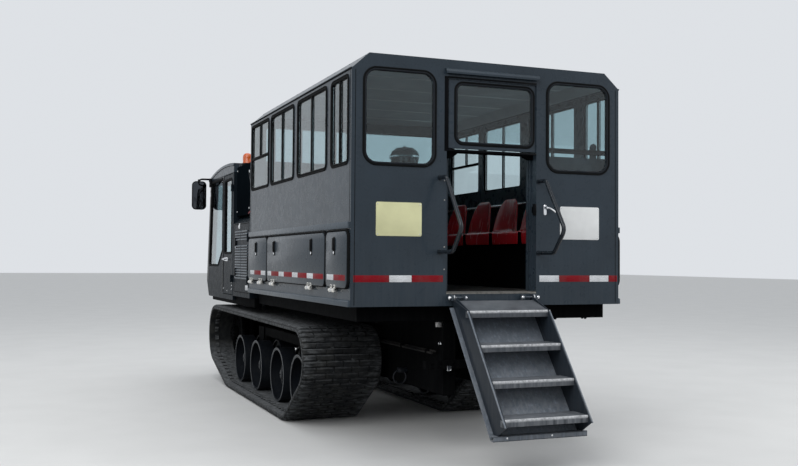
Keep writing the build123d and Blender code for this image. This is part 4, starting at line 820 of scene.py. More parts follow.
# linings inside: pale ceiling sheets with joint strips, and a ribbed floor mat
lining = {
    "edge": 0.972,
    "height": 2.9352,
    "thick": 0.0022,
    # the sloped sheet beside it: outside the edge, over the height
    "slope": ((0.001, 0.0), (0.086, -0.0755), (0.086, -0.0735), (0.001, 0.002)),
    "run": (0.056, 3.184),
    "joints": (0.62, 1.16, 1.70, 2.24, 2.78),
    "strip": (0.017, -0.0030, 0.0004),  # half width, below and above the height
    "mat": (0.628, (0.118, 3.180), (1.2172, 1.2212)),  # half width, ahead, up
    "ribs": 24,
    "ribEdge": 0.03,
    "rib": (0.005, 0.01, -0.0008, 0.0022),  # half width, short of the ends, below and above the mat's top
}
bm, strips = bmesh.new(), bmesh.new()
run, edge, height = lining["run"], lining["edge"], lining["height"]
addBlock(bm, (-edge, edge), run, (height, height + lining["thick"]))
for sign in (-1, 1):
    outline = [(sign * (edge + out), height + up) for out, up in lining["slope"]]
    addPrism(bm, outline, lambda x, z, end: at(x, run[end], z))
half, below, above = lining["strip"]
for ahead in lining["joints"]:
    addBlock(strips, (-edge, edge), (ahead - half, ahead + half), (height + below, height + above), 0.0012)
finishPiece("ceilingSheets", bm, "liner")
finishPiece("ceilingStrips", strips, "aluminium")
bm = bmesh.new()
half, (start, stop), (low, high) = lining["mat"]
addBlock(bm, (-half, half), (start, stop), (low, high), 0.0012)
ribHalf, short, below, above = lining["rib"]
ribRun, ribUp = (start + short, stop - short), (high + below, high + above)
for k in range(lining["ribs"]):
    x = -half + lining["ribEdge"] + k * 2 * (half - lining["ribEdge"]) / (lining["ribs"] - 1)
    addBlock(bm, (x - ribHalf, x + ribHalf), ribRun, ribUp, 0.0009, 1)
finishPiece("floorMat", bm, "mat")
print("walls done")

# locker doors: leaf, gasket, hinges, paddle latches and tape
lockerDoors = {
    # start and end, hinge middles, latch middles, tape start and its blocks
    "rear": (0.023, 0.530, (0.335,), (0.317,), 0.052, "rw"),
    "middle": (0.570, 2.410, (0.967, 2.180), (0.921, 2.138), 0.590, "rwrwrwrw"),
    "front": (2.440, 3.210, (2.665, 3.060), (2.857,), 2.475, "wrw"),
}
locker = {
    "up": (1.252, 1.668),
    "corner": 0.055,
    "leaf": ((-0.001, 0.0004), (0, 0.002), (0, 0.0165), (-0.0015, 0.0205), (-0.0055, 0.0222)),
    "gasket": ((-0.006, 0.0003), (-0.006, 0.004), (0.0008, 0.0190), (0.0045, 0.0222), (0.0085, 0.0215),
               (0.0125, 0.0150), (0.0125, 0.0003)),
    "gasketShift": (-0.004, 0.002, 0.005, 0.004),  # low, high, bottom, top
    "face": 0.0222,  # leaf's outer side, from the skin
    "barrel": (0.029, 1.230, 0.017, 0.038),  # out, height, radius, length
    "barrelFixed": 0.0406,  # room for the half that stays on the wall
    "strap": ((0, 0.0195), (0, 0.0268), (-0.0012, 0.0278)),
    "strapUp": (1.226, 1.272),
    "strapScrew": (1.260, 0.0276),
    "latchUp": (1.494, 1.630),
}
doorLatch = {
    "half": 0.023,
    "bezel": ((0, -0.002), (0, 0.0022), (-0.002, 0.0038)),  # outward, proud of the face
    "paddle": ((0, 0), (0, 0.010), (-0.003, 0.0145), (-0.008, 0.016)),
    "paddleSet": (0.006, 0.034, 0.007),  # inside the bezel's sides, bottom and top
    "key": (0.0115, 0.018, 0.001, 24),  # radius, over the bezel's bottom, proud, sides
}
tape = {
    "r": 0.2794,  # a red block's length
    "w": 0.1778,  # a white block's length
    "doorHeights": (1.306, 1.348),
    "rearHeights": (1.297, 1.347),
    "rearRuns": ((-1.122, -0.410, "rwr"), (0.414, 1.131, "wrwr")),
    "end": 0.030,  # free edge of a door past the tape
    "proud": 0.0006,
    "joint": 0.0009,
    "shortest": 0.01,
}


def addTape(name, body, runs, heights, lift, plane):
    meshes = {"r": bmesh.new(), "w": bmesh.new()}
    proud = tape["proud"]
    profile = ((0, lift - 0.0003), (0, lift + proud * 0.7), (-0.0006, lift + proud))
    for start, end, blocks in runs:
        here = start
        for block in blocks:
            stop = min(here + tape[block], end)
            if stop - here > tape["shortest"]:
                loop = roundedLoop(here + tape["joint"], stop - tape["joint"], *heights, 0.0015, 2)
                addPlate(meshes[block], loop, profile, plane)
            here = stop
    finishPiece(name % "Red", meshes["r"], "redTape", body)
    finishPiece(name % "White", meshes["w"], "whiteTape", body)


def addLatch(case, keys, latch, middle, bottom, top, face, plane, outward):
    # paddle latch: bezel, lifting paddle and lock cylinder
    low, high = middle - latch["half"], middle + latch["half"]
    inset, below, above = latch["paddleSet"]
    addPlate(case, roundedLoop(low, high, bottom, top, 0.010, 5),
             [(out, face + proud) for out, proud in latch["bezel"]], plane)
    addPlate(case, roundedLoop(low + inset, high - inset, bottom + below, top - above, 0.008, 5),
             [(out, face + proud) for out, proud in latch["paddle"]], plane)
    radius, up, proud, sides = latch["key"]
    profile = ((0, 0), (radius, 0), (radius, 0.0045), (radius - 0.002, 0.0062), (radius - 0.006, 0.0062),
               (radius - 0.0065, 0.0042), (0, 0.0042))
    addLathe(keys, profile, plane(middle, bottom + up, face + proud), outward, sides)


for side, sign in bothSides:
    plane, outward = sidePlane(sign), (sign, 0, 0)
    carrierGasket = bmesh.new()
    for doorName, (start, end, hinges, latches, tapeStart, blocks) in lockerDoors.items():
        body = "locker_door_" + doorName + "_" + side
        ending = "_%s_%s" % (doorName, side)
        (bottom, top), corner, face = locker["up"], locker["corner"], locker["face"]
        leaf = bmesh.new()
        addPlate(leaf, roundedLoop(start, end, bottom, top, corner, 10), locker["leaf"], plane)
        finishPiece("lockerLeaf" + ending, leaf, "body", body, replaces=(body,), smooth=30)
        low, high, under, over = locker["gasketShift"]
        addRing(carrierGasket, roundedLoop(start + low, end + high, bottom + under, top + over, corner, 10),
                locker["gasket"], plane)
        # barrels rolled from the strap that lies on the leaf
        barrels, screws = bmesh.new(), []
        out, height, radius, length = locker["barrel"]
        screwUp, screwOut = locker["strapScrew"]
        for middle in hinges:
            for direction in (-1, 1):
                near = middle + direction * locker["barrelFixed"] / 2
                far = near + direction * length
                addRound(barrels, plane(near, height, out), plane(far, height, out), radius, 28, 0.0018)
                strap = roundedLoop(min(near, far), max(near, far), *locker["strapUp"], 0.004, 3)
                addPlate(barrels, strap, locker["strap"], plane)
                screws.append((plane((near + far) / 2, screwUp, screwOut), outward, (0, 1, 0)))
        finishPiece("lockerHinge" + ending, barrels, "hinge", body)
        spread("lockerScrews" + ending, screwItem(0.0062, 0.0032), screws, "seal", body, "dark_steel")
        case, keys = bmesh.new(), bmesh.new()
        for middle in latches:
            addLatch(case, keys, doorLatch, middle, *locker["latchUp"], face, plane, outward)
        finishPiece("lockerLatch" + ending, case, "trim", body)
        finishPiece("lockerKey" + ending, keys, "chrome", body)
        runs = [(tapeStart, end - tape["end"], blocks)]
        addTape("lockerTape%s" + ending, body, runs, tape["doorHeights"], face, plane)
    finishPiece("lockerGasket_" + side, carrierGasket, "seal")
print("lockers done")

# rear wall: tape, blank sign plates, corner beads, latch, black strips round the transom (a painted shadow
# under its cap, painted shade over the door's head), sill and post screws
rear = {
    "signs": (("yellowPlate", -0.950, -0.587, 1.636, 1.886), ("whitePlate", 0.599, 0.958, 1.631, 1.891)),
    "signThick": 0.0016,
    "signScrewSet": 0.014,
    "seam": (1.1118, 1.1162, 1.128, 2.848),  # inner, outer, bottom, top
    "latch": (0.463, 1.860),
    "latchPlate": (0.013, 0.042),  # half width, half height
    "latchKnob": ((0, 0), (0.0115, 0), (0.0115, 0.012), (0.010, 0.030), (0.008, 0.034), (0, 0.035)),
    # across, proud, height
    "lever": ((0.463, 0.030, 1.876), (0.482, 0.041, 1.872), (0.512, 0.043, 1.856), (0.532, 0.041, 1.842)),
    # across, ahead, up, bevel: the transom's left, upper (a painted shadow under the cap) and lower (painted
    # shade over the door's head) black strips, then the latch's strike plate
    "darkStripsAndStrike": (((-0.4045, -0.374), (-0.0014, 0.0006), (2.300, 2.838), 0.0006),
               ((-0.4045, 0.386), (-0.0014, 0.0006), (2.838, 2.852), 0.0006),
               ((-0.4045, 0.384), (-0.0014, 0.0006), (2.284, 2.300), 0.0006),
               ((0.352, 0.384), (-0.0030, 0.001), (1.815, 1.905), 0.0016),
               ((0.366, 0.3865), (-0.0010, 0.040), (1.835, 1.885), 0.0016)),
    "postScrews": (-0.402, (2.060, 1.912, 1.560, 1.392)),  # across, heights
    "sill": (0.384, 1.2165, 1.2225),  # half length, underside, top
    "sillLip": (-0.0025, 0.001, 0.016),  # rear side, front side, height
    "sillDepth": 0.092,
    "ridges": (6, 0.012, 0.013, 0.005),  # count, first, pitch, width
}
rearPlane, backwards = endPlane(rearFace, -1), (0, -1, 0)
addTape("rearTape%s", "carrier", tape["rearRuns"], tape["rearHeights"], 0, rearPlane)
screws = []
thick, inset = rear["signThick"], rear["signScrewSet"]
for look, low, high, bottom, top in rear["signs"]:
    bm = bmesh.new()
    profile = ((0, 0.0001), (0, thick * 0.8), (-0.0008, thick))
    addPlate(bm, roundedLoop(low, high, bottom, top, 0.012, 5), profile, rearPlane)
    finishPiece(look + "Sign", bm, look)
    for a in (low + inset, high - inset):
        for b in (bottom + inset, top - inset):
            screws.append((rearPlane(a, b, thick), backwards, (0, 0, 1)))
spread("signScrews", screwItem(0.0048, 0.0026), screws, "bright")
bm = bmesh.new()
inner, outer, bottom, top = rear["seam"]
for low, high in ((-outer, -inner), (inner, outer)):
    addSeam(bm, low, high, bottom, top, rearPlane)
finishPiece("cornerBeads", bm, "seal")

bm = bmesh.new()
x, z = rear["latch"]
halfWide, halfHigh = rear["latchPlate"]
addPlate(bm, roundedLoop(x - halfWide, x + halfWide, z - halfHigh, z + halfHigh, 0.011, 6),
         ((0, 0.0002), (0, 0.004), (-0.003, 0.0075)), rearPlane)
addLathe(bm, rear["latchKnob"], rearPlane(x, z + 0.016, 0.006), backwards, 24)
finishPiece("entryLatch", bm, "chrome")
bm = bmesh.new()
addTube(bm, smoothPath([rearPlane(a, b, proud) for a, proud, b in rear["lever"]], 5), 0.0075, 12)
finishPiece("entryLever", bm, "bright")
bm = bmesh.new()
# black strips: painted shadow and shade round the transom, then the dark strike plate
for block in rear["darkStripsAndStrike"]:
    addBlock(bm, *block)
finishPiece("entryEdging", bm, "blackGloss")

# sill: a plate with a turned-down lip and ridges on it
bm = bmesh.new()
half, low, high = rear["sill"]
back, front, lip = rear["sillLip"]
addBlock(bm, (-half, half), (back, front), (high - lip, high), 0.0011)
addBlock(bm, (-half, half), (back, rear["sillDepth"]), (low, high), 0.0011)
count, first, pitch, width = rear["ridges"]
for k in range(count):
    y = first + k * pitch
    addBlock(bm, (-half + 0.01, half - 0.01), (y, y + width), (high - 0.0006, high + 0.0014), 0.0006)
finishPiece("entrySill", bm, "sill")
x, heights = rear["postScrews"]
screws = [(at(x, -0.0002, z), backwards, (0, 0, 1)) for z in heights]
spread("postBolts", screwItem(0.006, 0.004), screws, "bare")
print("rear wall done")

# folding stairs: folded side sheets with flanges, a closed back and worn nosings, turned by hinge pins
stair = {
    "half": 0.335,
    "plate": 0.010,
    "pivot": (-0.034, 1.180),
    "lug": 0.025,  # radius of the sides' rounded upper end
    "run": 0.183,
    "rise": 0.234,
    "first": (-0.285, 1.094),
    "steps": 4,
    "depth": 0.200,
    "treadDepth": 0.192,
    "down": 0.951,  # length of the front edges down the slope
    "backDown": 0.928,
    "backRise": 0.165,
    "flanges": (0.009, 0.033),  # width of the front and the rear ones
    "flangePlate": 0.008,
    "sheet": 0.005,
    "noseHeight": 0.050,
    "noseRound": 0.005,
    "noseOver": 0.009,  # first and last nosing past the sides
    "landingEnd": (-0.062, 1.158),
    "foot": (0.056, 0.008, 0.030),  # towards the user, below, above the lower rear corner
    "footSheet": 0.006,
    "plugs": (-0.266, 0.084),
    "plug": (0.014, 0.007, 0.002),  # over the corner, radius, half length
    # hinge: rod across two lugs on the sill beam, nuts on it and domed ends
    "rod": (0.236, 0.3848, 0.0085),  # inner end, outer end, radius
    "nuts": ((0.2365, 0.012), (0.3690, 0.013)),  # start, length
    "nutRadius": 0.0165,
    "dome": ((0.0145, 0), (0.0145, 0.002), (0.0115, 0.008), (0.006, 0.0115), (0, 0.0125)),
    "domeBack": 0.013,
    # across, below and above the pivot, bevel
    "lugs": (((0.248, 0.256), -0.020, 0.020, 0.003), ((0.3452, 0.362), -0.024, 0.022, 0.004)),
    "lugRun": (-0.058, 0.002),
}
stairSlope = atan2(stair["rise"], stair["run"])


def slopePoint(down, deep):
    # down the front edge of the sides, and deep into them; ahead, height
    y, z = stair["first"]
    ahead, fall = cos(stairSlope), sin(stairSlope)
    return (y - down * ahead + deep * fall, z - down * fall - deep * ahead)


def acrossPlace(low, high):
    return lambda y, z, end: at(high if end else low, y, z)


def addStrip(bm, start, end, deep, thick, low, high, bevel=0.0012):
    outline = [slopePoint(start, deep), slopePoint(end, deep), slopePoint(end, deep + thick),
               slopePoint(start, deep + thick)]
    addPrism(bm, outline, acrossPlace(low, high), bevel)


half, depth, backDown, backTop = stair["half"], stair["depth"], stair["backDown"], -stair["backRise"]
pivotY, pivotZ = stair["pivot"]
lug, fold = stair["lug"], stair["flangePlate"]
dome = [(pivotY + lug * cos(a), pivotZ + lug * sin(a)) for a in (pi * k / 12 for k in range(13))]
sideOutline = dome + [slopePoint(0, 0), slopePoint(stair["down"], 0), slopePoint(backDown, depth),
                      slopePoint(backTop, depth), (pivotY + lug, pivotZ - 0.05)]
bm, flanges = bmesh.new(), bmesh.new()
frontFlange, rearFlange = stair["flanges"]
for sign in (-1, 1):
    addPrism(bm, sideOutline, acrossPlace(*sorted((sign * half, sign * (half - stair["plate"])))), 0.0012)
    for start, end, deep, width in ((0.010, stair["down"], 0.0, frontFlange),
                                    (backTop, backDown, depth - fold, rearFlange)):
        addStrip(flanges, start, end, deep, fold, *sorted((sign * (half - 0.001), sign * (half + width))))
# foot: a channel across the lower end
footY, footZ = slopePoint(backDown, depth)
toUser, below, above = stair["foot"]
sheet, width = stair["footSheet"], half + rearFlange
low, high, outer = footZ - below, footZ + above, footY - toUser
for ahead, up in (((outer, footY), (low, low + sheet)), ((outer, outer + sheet), (low, high)),
                  ((outer, footY - 0.004), (high - sheet, high))):
    addBlock(flanges, (-width, width), ahead, up, 0.0015)
# the side sheets take the darker copy of the stair paint, a painted shade; the flanges, the foot and the back
# sheet take the lighter copy, painted light
finishPiece("stairSides", bm, "stairPaintShaded", "stairs", replaces=("stairs",))
finishPiece("stairFlanges", flanges, "stairPaintLit", "stairs")
inner, sheet = half - stair["plate"] + 0.0005, stair["sheet"]
bm = bmesh.new()
addStrip(bm, backTop + 0.01, backDown, depth - sheet - 0.0005, sheet, -inner, inner, 0.0)
finishPiece("stairBack", bm, "stairPaintLit", "stairs")

# treads; the points beside the nose keep its worn edge narrow
bm = bmesh.new()
soft, drop = stair["noseRound"], stair["noseHeight"]
for index in range(stair["steps"]):
    y = stair["first"][0] - index * stair["run"]
    z = stair["first"][1] - index * stair["rise"]
    width = inner if index else half + 0.001
    noseHalf = half + stair["noseOver"] if index in (0, stair["steps"] - 1) else width
    back = (y + stair["treadDepth"], z) if index else stair["landingEnd"]
    lean = atan2(back[1] - z, back[0] - y)
    bend = [(y + soft - soft * cos(a), z - soft + soft * sin(a)) for a in (pi / 2 * k / 4 for k in range(5))]
    edge = (y + soft + 0.006, z + 0.006 * tan(lean))
    inside = (y + sheet + 0.002, z - sheet + (0.002 + sheet) * sin(lean))
    top = bend + [edge, back, (back[0], back[1] - sheet), inside]
    nose = [(y, z - drop), (y, z - soft)] + bend[1:3] + [(y + sheet, z - sheet), (y + sheet, z - drop)]
    addPrism(bm, top, acrossPlace(-width, width), 0.0)
    addPrism(bm, nose, acrossPlace(-noseHalf, noseHalf), 0.0008)
    for sign in (-1, 1):  # returns that close the nosing's ends
        across = (sign * (noseHalf - 0.004), sign * noseHalf)
        addBlock(bm, across, (y + 0.001, y + 0.030), (z - drop, z - soft), 0.0006)


def noseWear(co):
    index = round((stair["first"][1] - co.z) / stair["rise"])
    ahead = co.y - rearFace - stair["first"][0] + index * stair["run"]
    near = ahead < stair["noseRound"] * 1.3
    return 1.0 if near and co.z > stair["first"][1] - index * stair["rise"] - 0.006 else 0.0


finishPiece("stairTreads", markWearAndHighlight(meshOf(bm), noseWear), "tread", "stairs")
bm = bmesh.new()
up, radius, length = stair["plug"]
for x in stair["plugs"]:
    addRound(bm, at(x, outer - length, footZ + up), at(x, outer + length, footZ + up), radius, 16, 0.0008)
finishPiece("footPlugs", bm, "bright", "stairs")

# hinge: the parts that stay on the sill beam
pins, brackets = bmesh.new(), bmesh.new()
for sign in (-1, 1):
    onAxis = lambda x, behind=0: at(sign * x, pivotY - behind, pivotZ)
    start, end, radius = stair["rod"]
    addRound(brackets, onAxis(start), onAxis(end), radius, 20)
    for x, length in stair["nuts"]:
        addRound(pins, onAxis(x), onAxis(x + length), stair["nutRadius"], 6, 0.0018)
        addLathe(pins, stair["dome"], onAxis(x + length / 2, stair["domeBack"]), (0, -1, 0), 20)
    for (start, end), below, above, bevel in stair["lugs"]:
        addBlock(brackets, (sign * start, sign * end), stair["lugRun"], (pivotZ + below, pivotZ + above), bevel)
finishPiece("stairPins", pins, "chrome")
finishPiece("stairBrackets", brackets, "stair")
print("stairs done")

# tracks: a belt lofted round its wheels, with lugs, ribs and guide horns set on it
track = {
    "centre": 0.787,
    # ahead, height, inner radius of the belt
    "wheels": ((1.505, 0.592, 0.238), (1.965, 0.322, 0.265), (4.400, 0.322, 0.265), (5.130, 0.555, 0.293)),
    "lugs": 88,
    "stations": 5,  # belt sections for each lug
    "beltThick": 0.038,
    "beltEdge": 0.3545,
    "lugHeight": 0.019,
    "lugBase": 0.052,
    "lugTip": 0.034,
    "lugEnds": ((-0.3535, 0.10), (-0.344, 0.62), (-0.326, 0.97)),  # across, share of the height
    "lugCuts": ((-0.146, 0.0, 0.146), (-0.236, -0.078, 0.078, 0.236)),  # of one row and the next
    "lugCut": ((-0.008, 0.97), (-0.003, 0.40), (0.003, 0.40), (0.008, 0.97)),
    "belt": ((-0.334, 0), (-0.350, 0.004), (-0.355, 0.011), (-0.355, 0.029), (-0.350, 0.0362), (-0.338, 0.038),
             (0.338, 0.038), (0.350, 0.0362), (0.355, 0.029), (0.355, 0.011), (0.350, 0.004), (0.334, 0)),
    "ribColumns": (("outer", -0.215, 38), ("inner", 0.215, -38)),  # across, turn in degrees
    "ribShare": 0.42,  # second column's place across, as a share of the first's
    "rib": (0.040, 0.016, 0.015),  # along, across, height
    "cleat": (0.060, 0.046, 0.014),
    "cleatOut": 0.265,
    # half across, half along, inwards
    "horn": ((0.027, 0.023, -0.002), (0.027, 0.023, 0.006), (0.0245, 0.017, 0.040), (0.020, 0.0105, 0.058),
             (0.015, 0.007, 0.062)),
}


def loopRuns(grow):
    # arcs and straight runs of a loop round the wheels, grown outwards
    wheels = [(rearFace + ahead, z, radius) for ahead, z, radius in track["wheels"]]
    following = wheels[1:] + wheels[:1]
    angles = []
    for (y, z, radius), (nextY, nextZ, nextRadius) in zip(wheels, following):
        reach = hypot(nextY - y, nextZ - z)
        angles.append(atan2(nextZ - z, nextY - y) - acos((radius - nextRadius) / reach))
    runs = []
    for k, ((y, z, radius), (nextY, nextZ, nextRadius)) in enumerate(zip(wheels, following)):
        begin, end = angles[k - 1], angles[k]
        while end < begin:
            end += 2 * pi
        runs.append(("arc", (radius + grow) * (end - begin), (y, z), radius + grow, begin))
        start = (y + (radius + grow) * cos(end), z + (radius + grow) * sin(end))
        stop = (nextY + (nextRadius + grow) * cos(end), nextZ + (nextRadius + grow) * sin(end))
        runs.append(("line", hypot(stop[0] - start[0], stop[1] - start[1]), start, stop, end))
    return runs


def loopPlaces(grow, count, shift=0.5):
    # (y, z, angle of the outward direction) of evenly spaced places
    runs = loopRuns(grow)
    pitch = sum(run[1] for run in runs) / count
    places = []
    for k in range(count):
        distance = (k + shift) * pitch
        for kind, length, first, second, angle in runs:
            if distance <= length:
                break
            distance -= length
        if kind == "line":
            share = distance / length
            places.append((first[0] + share * (second[0] - first[0]), first[1] + share * (second[1] - first[1]),
                           angle))
        else:
            turn = angle + distance / second
            places.append((first[0] + second * cos(turn), first[1] + second * sin(turn), turn))
    return places


def lugItem(cuts):
    # a bar across the belt, cut through in places; its ends are marked worn, and its tip is marked for wear
    # together with a painted highlight
    bm = bmesh.new()
    base, tip = track["lugBase"] / 2, track["lugTip"] / 2
    ends = list(track["lugEnds"])
    across = ends + [(cut + x, share) for cut in cuts for x, share in track["lugCut"]]
    across += [(-x, share) for x, share in reversed(ends)]
    rings = []
    for x, share in across:
        height = track["lugHeight"] * share
        flank = [(base, -0.001), (base - 0.001, 0.003 * share), (tip + 0.0008, height - 0.003 * share),
                 (tip - 0.003, height)]
        section = [(-y, z) for y, z in flank] + flank[::-1]
        rings.append([bm.verts.new((x, y, z)) for y, z in section])
    joinRings(bm, rings, capped=True)

    def lugWearAndHighlight(co):
        if co.z > 0.009 and abs(co.x) > 0.32:
            return 1.0
        return 0.55 if co.z > 0.011 and abs(co.y) > tip - 0.002 else 0.1

    return markWearAndHighlight(meshOf(bm), lugWearAndHighlight)


def ribItem(turn):
    bm = bmesh.new()
    length, width, height = track["rib"]
    addBox(bm, (-length / 2, -width / 2, -0.001), (length / 2, width / 2, height), 0.003, 1)
    bmesh.ops.rotate(bm, verts=bm.verts, cent=(0, 0, 0), matrix=Matrix.Rotation(radians(turn), 3, "Z"))
    return markWearAndHighlight(meshOf(bm), lambda co: 0.75 if co.z > height * 0.6 else 0.1)


def hornItem():
    bm = bmesh.new()
    corners = ((-1, -1), (1, -1), (1, 1), (-1, 1))
    rings = [[bm.verts.new((x * a, y * b, -z)) for a, b in corners] for x, y, z in track["horn"]]
    joinRings(bm, rings, capped=True)
    edges = [edge for edge in bm.edges if abs(edge.verts[0].co.z - edge.verts[1].co.z) > 0.003]
    bmesh.ops.bevel(bm, geom=edges, offset=0.004, segments=1, affect="EDGES")
    return markWearAndHighlight(meshOf(bm), lambda co: 0.8 if co.z < -0.05 else 0.25)


def cleatItem():
    bm = bmesh.new()
    length, width, height = track["cleat"]
    addBox(bm, (-width / 2, -length / 2, -height), (width / 2, length / 2, 0.002), 0.004, 1)
    return markWearAndHighlight(meshOf(bm), lambda co: 0.7 if co.z < -0.008 else 0.1)


def trackPlaces(places, centre, x=0.0):
    return [((centre + x, y, z), (0, cos(a), sin(a)), (0, -sin(a), cos(a))) for y, z, a in places]


for side, sign in bothSides:
    centre = sign * track["centre"]
    lugs, thick, cleatOut = track["lugs"], track["beltThick"], track["cleatOut"]
    bm = bmesh.new()
    rings = [[bm.verts.new((centre + x, y + grow * cos(a), z + grow * sin(a))) for x, grow in track["belt"]]
             for y, z, a in loopPlaces(0, lugs * track["stations"])]
    joinRings(bm, rings, closed=True)
    belt = markWearAndHighlight(meshOf(bm), lambda co: 0.8 if abs(abs(co.x) - track["centre"]) > track["beltEdge"] else 0.0)
    finishPiece("trackBelt_" + side, belt, "track", replaces=("track_" + side,))
    lugPlaces = loopPlaces(thick, 2 * lugs)
    for row, cuts in enumerate(track["lugCuts"]):
        spread("trackLugs_%d_%s" % (row, side), lugItem(cuts), trackPlaces(lugPlaces[row::2], centre), "track",
               smooth=30)
    between = loopPlaces(thick, lugs, 0.0)
    for first, (label, out, turn) in enumerate(track["ribColumns"]):
        ribs = trackPlaces(between[first::2], centre, out)
        ribs += trackPlaces(between[1 - first::2], centre, out * track["ribShare"])
        spread("trackRibs_%s_%s" % (label, side), ribItem(turn), ribs, "track", smooth=30)
    inside = loopPlaces(0, lugs)
    cleats = trackPlaces(inside, centre, -cleatOut) + trackPlaces(inside, centre, cleatOut)
    spread("trackCleats_" + side, cleatItem(), cleats, "track", smooth=30)
    spread("trackHorns_" + side, hornItem(), trackPlaces(loopPlaces(0, lugs // 2), centre), "track", smooth=30)
print("tracks done")

# wheels: rim bands, hub caps and bolts on the dished pairs
wheels = {
    # ahead, height, rim radius
    "road": ((1.965, 0.322, 0.2647), (2.725, 0.322, 0.2647), (3.625, 0.322, 0.2647), (4.400, 0.322, 0.2647),
             (1.505, 0.592, 0.2377)),
    "rimOut": 0.190,
    "band": ((-0.0075, -0.0006), (-0.0006, -0.0006), (0, 0.0004), (-0.0010, 0.0014), (-0.0068, 0.0016),
             (-0.0080, 0.0004)),
    "cap": ((0, 0.141), (0.046, 0.141), (0.046, 0.146), (0.041, 0.1505), (0.018, 0.154), (0.0, 0.155)),
    "capNut": ((0, 0.154), (0.006, 0.154), (0.006, 0.159), (0.003, 0.163), (0, 0.164)),
    "flange": (0.1238, 0.085, 8),  # out, bolt circle, count
    "sprocket": (5.130, 0.555),
    "sprocketCircles": ((0.1302, 0.068, 10), (0.0702, 0.178, 12)),
}
for side, sign in bothSides:
    centre = sign * track["centre"]
    bands, caps, bolts, hubBolts = bmesh.new(), bmesh.new(), [], []
    for ahead, z, radius in wheels["road"]:
        spot = (centre, rearFace + ahead, z)
        band = [(radius + across, wheels["rimOut"] + out) for across, out in wheels["band"]]
        for face in (-1, 1):
            addLathe(bands, band, spot, (face, 0, 0), 72, True)
            addLathe(caps, wheels["cap"], spot, (face, 0, 0), 32)
            addLathe(caps, wheels["capNut"], spot, (face, 0, 0), 10)
            bolts += circlePlaces(spot, face, *wheels["flange"], 0.5)
    ahead, z = wheels["sprocket"]
    for circle in wheels["sprocketCircles"]:
        hubBolts += circlePlaces((centre, rearFace + ahead, z), sign, *circle)
    finishPiece("rimBands_" + side, bands, "rim")
    finishPiece("hubCaps_" + side, caps, "wheel")
    spread("wheelBolts_" + side, boltItem(0.0095, 0.010), bolts, "wheel", turn=1.0)
    spread("sprocketBolts_" + side, boltItem(0.0105, 0.011), hubBolts, "frame", turn=1.0)
print("wheels done")

# underside: tow pin, fixed pipes in clips, bolts, small fittings, lashing rings and the bay's sills
belly = {
    "barFace": 0.060,  # rear bar's rear side
    "barBolts": ((-0.47, -0.40, -0.30, 0.30, 0.40, 0.47), (0.652, 0.688)),  # across, heights
    "towPin": (0.0, -0.030, 0.670),
    "pinRounds": ((-0.072, 0.068, 0.0155, 20), (0.052, 0.064, 0.030, 24)),  # from, to, radius, sides
    "splitPin": ((0.012, 0.0, -0.064), (0.020, -0.006, -0.069), (-0.020, -0.006, -0.069)),
    "pipes": ((-0.385, 0.0), (-0.410, 0.012), (0.385, 0.0), (0.410, 0.012)),  # across, drop
    "pipeRun": (0.20, 1.10, 2.10, 3.05),
    "pipeRadius": 0.009,
    "pipeHeight": 0.760,
    "clips": (6, 0.30, 0.52, 0.011),  # count, first, pitch, half width
    "clipOut": (0.3495, 0.424),
    "clipUp": (-0.0245, 0.0115),
    "deckBeams": (0.130, 0.830, 1.620, 2.410, 3.130),
    "deckBolts": ((0.90, 0.62), 0.022, 1.0052),  # out, ahead and behind the beam's middle, height
    "barPlate": ((-0.346, -0.314), (0.0545, 0.0605), (0.625, 0.661), 0.002),
    # valve on the left rail: from, to, radius, sides, bevel
    "valve": ((-0.352, -0.364, 0.014, 6, 0.002), (-0.362, -0.380, 0.009, 16, 0.001)),
    "valvePlace": (0.150, 0.824),
    # out, ahead, up, bevel
    "rearSocket": ((0.3498, 0.402), (0.135, 0.165), (0.950, 0.990), 0.004),
    "baySill": ((1.020, 1.098), (3.200, 5.480), (0.955, 1.0505), 0.006),
    "rings": (0.860, 2.260),
    "ring": (0.412, 0.492, 0.056, 0.007),  # out, height, radius, thickness
    "ringEye": ((0.3495, 0.430), 0.022, (0.530, 0.566), 0.004),  # out, half length, up, bevel
}
backwards, downwards = (0, -1, 0), (0, 0, -1)
columns, heights = belly["barBolts"]
bolts = [(at(x, belly["barFace"], z), backwards, (0, 0, 1)) for x in columns for z in heights]
spread("barBolts", boltItem(0.009, 0.010), bolts, "frame", turn=1.0)

x, ahead, z = belly["towPin"]
bm = bmesh.new()
for low, high, radius, sides in belly["pinRounds"]:
    addRound(bm, at(x, ahead, z + low), at(x, ahead, z + high), radius, sides, 0.002)
addTube(bm, [at(x + a, ahead + b, z + c) for a, b, c in belly["splitPin"]], 0.0022, 8)
finishPiece("towPin", bm, "bare")

pipes, clips, height = bmesh.new(), bmesh.new(), belly["pipeHeight"]
for x, drop in belly["pipes"]:
    path = smoothPath([at(x, ahead, height - drop) for ahead in belly["pipeRun"]], 4)
    addTube(pipes, path, belly["pipeRadius"], 12)
count, first, pitch, half = belly["clips"]
low, high = belly["clipUp"]
for sign in (-1, 1):
    across = [sign * out for out in belly["clipOut"]]
    for k in range(count):
        y = first + k * pitch
        addBlock(clips, across, (y - half, y + half), (height + low, height + high), 0.003)
finishPiece("framePipes", pipes, "hose")
finishPiece("pipeClips", clips, "frame")

outs, shift, height = belly["deckBolts"]
bolts = [(at(sign * out, ahead + dy, height), downwards, (0, 1, 0)) for ahead in belly["deckBeams"]
         for sign in (-1, 1) for dy in (-shift, shift) for out in outs]
spread("deckBolts", boltItem(0.010, 0.011), bolts, "frame", turn=1.0)

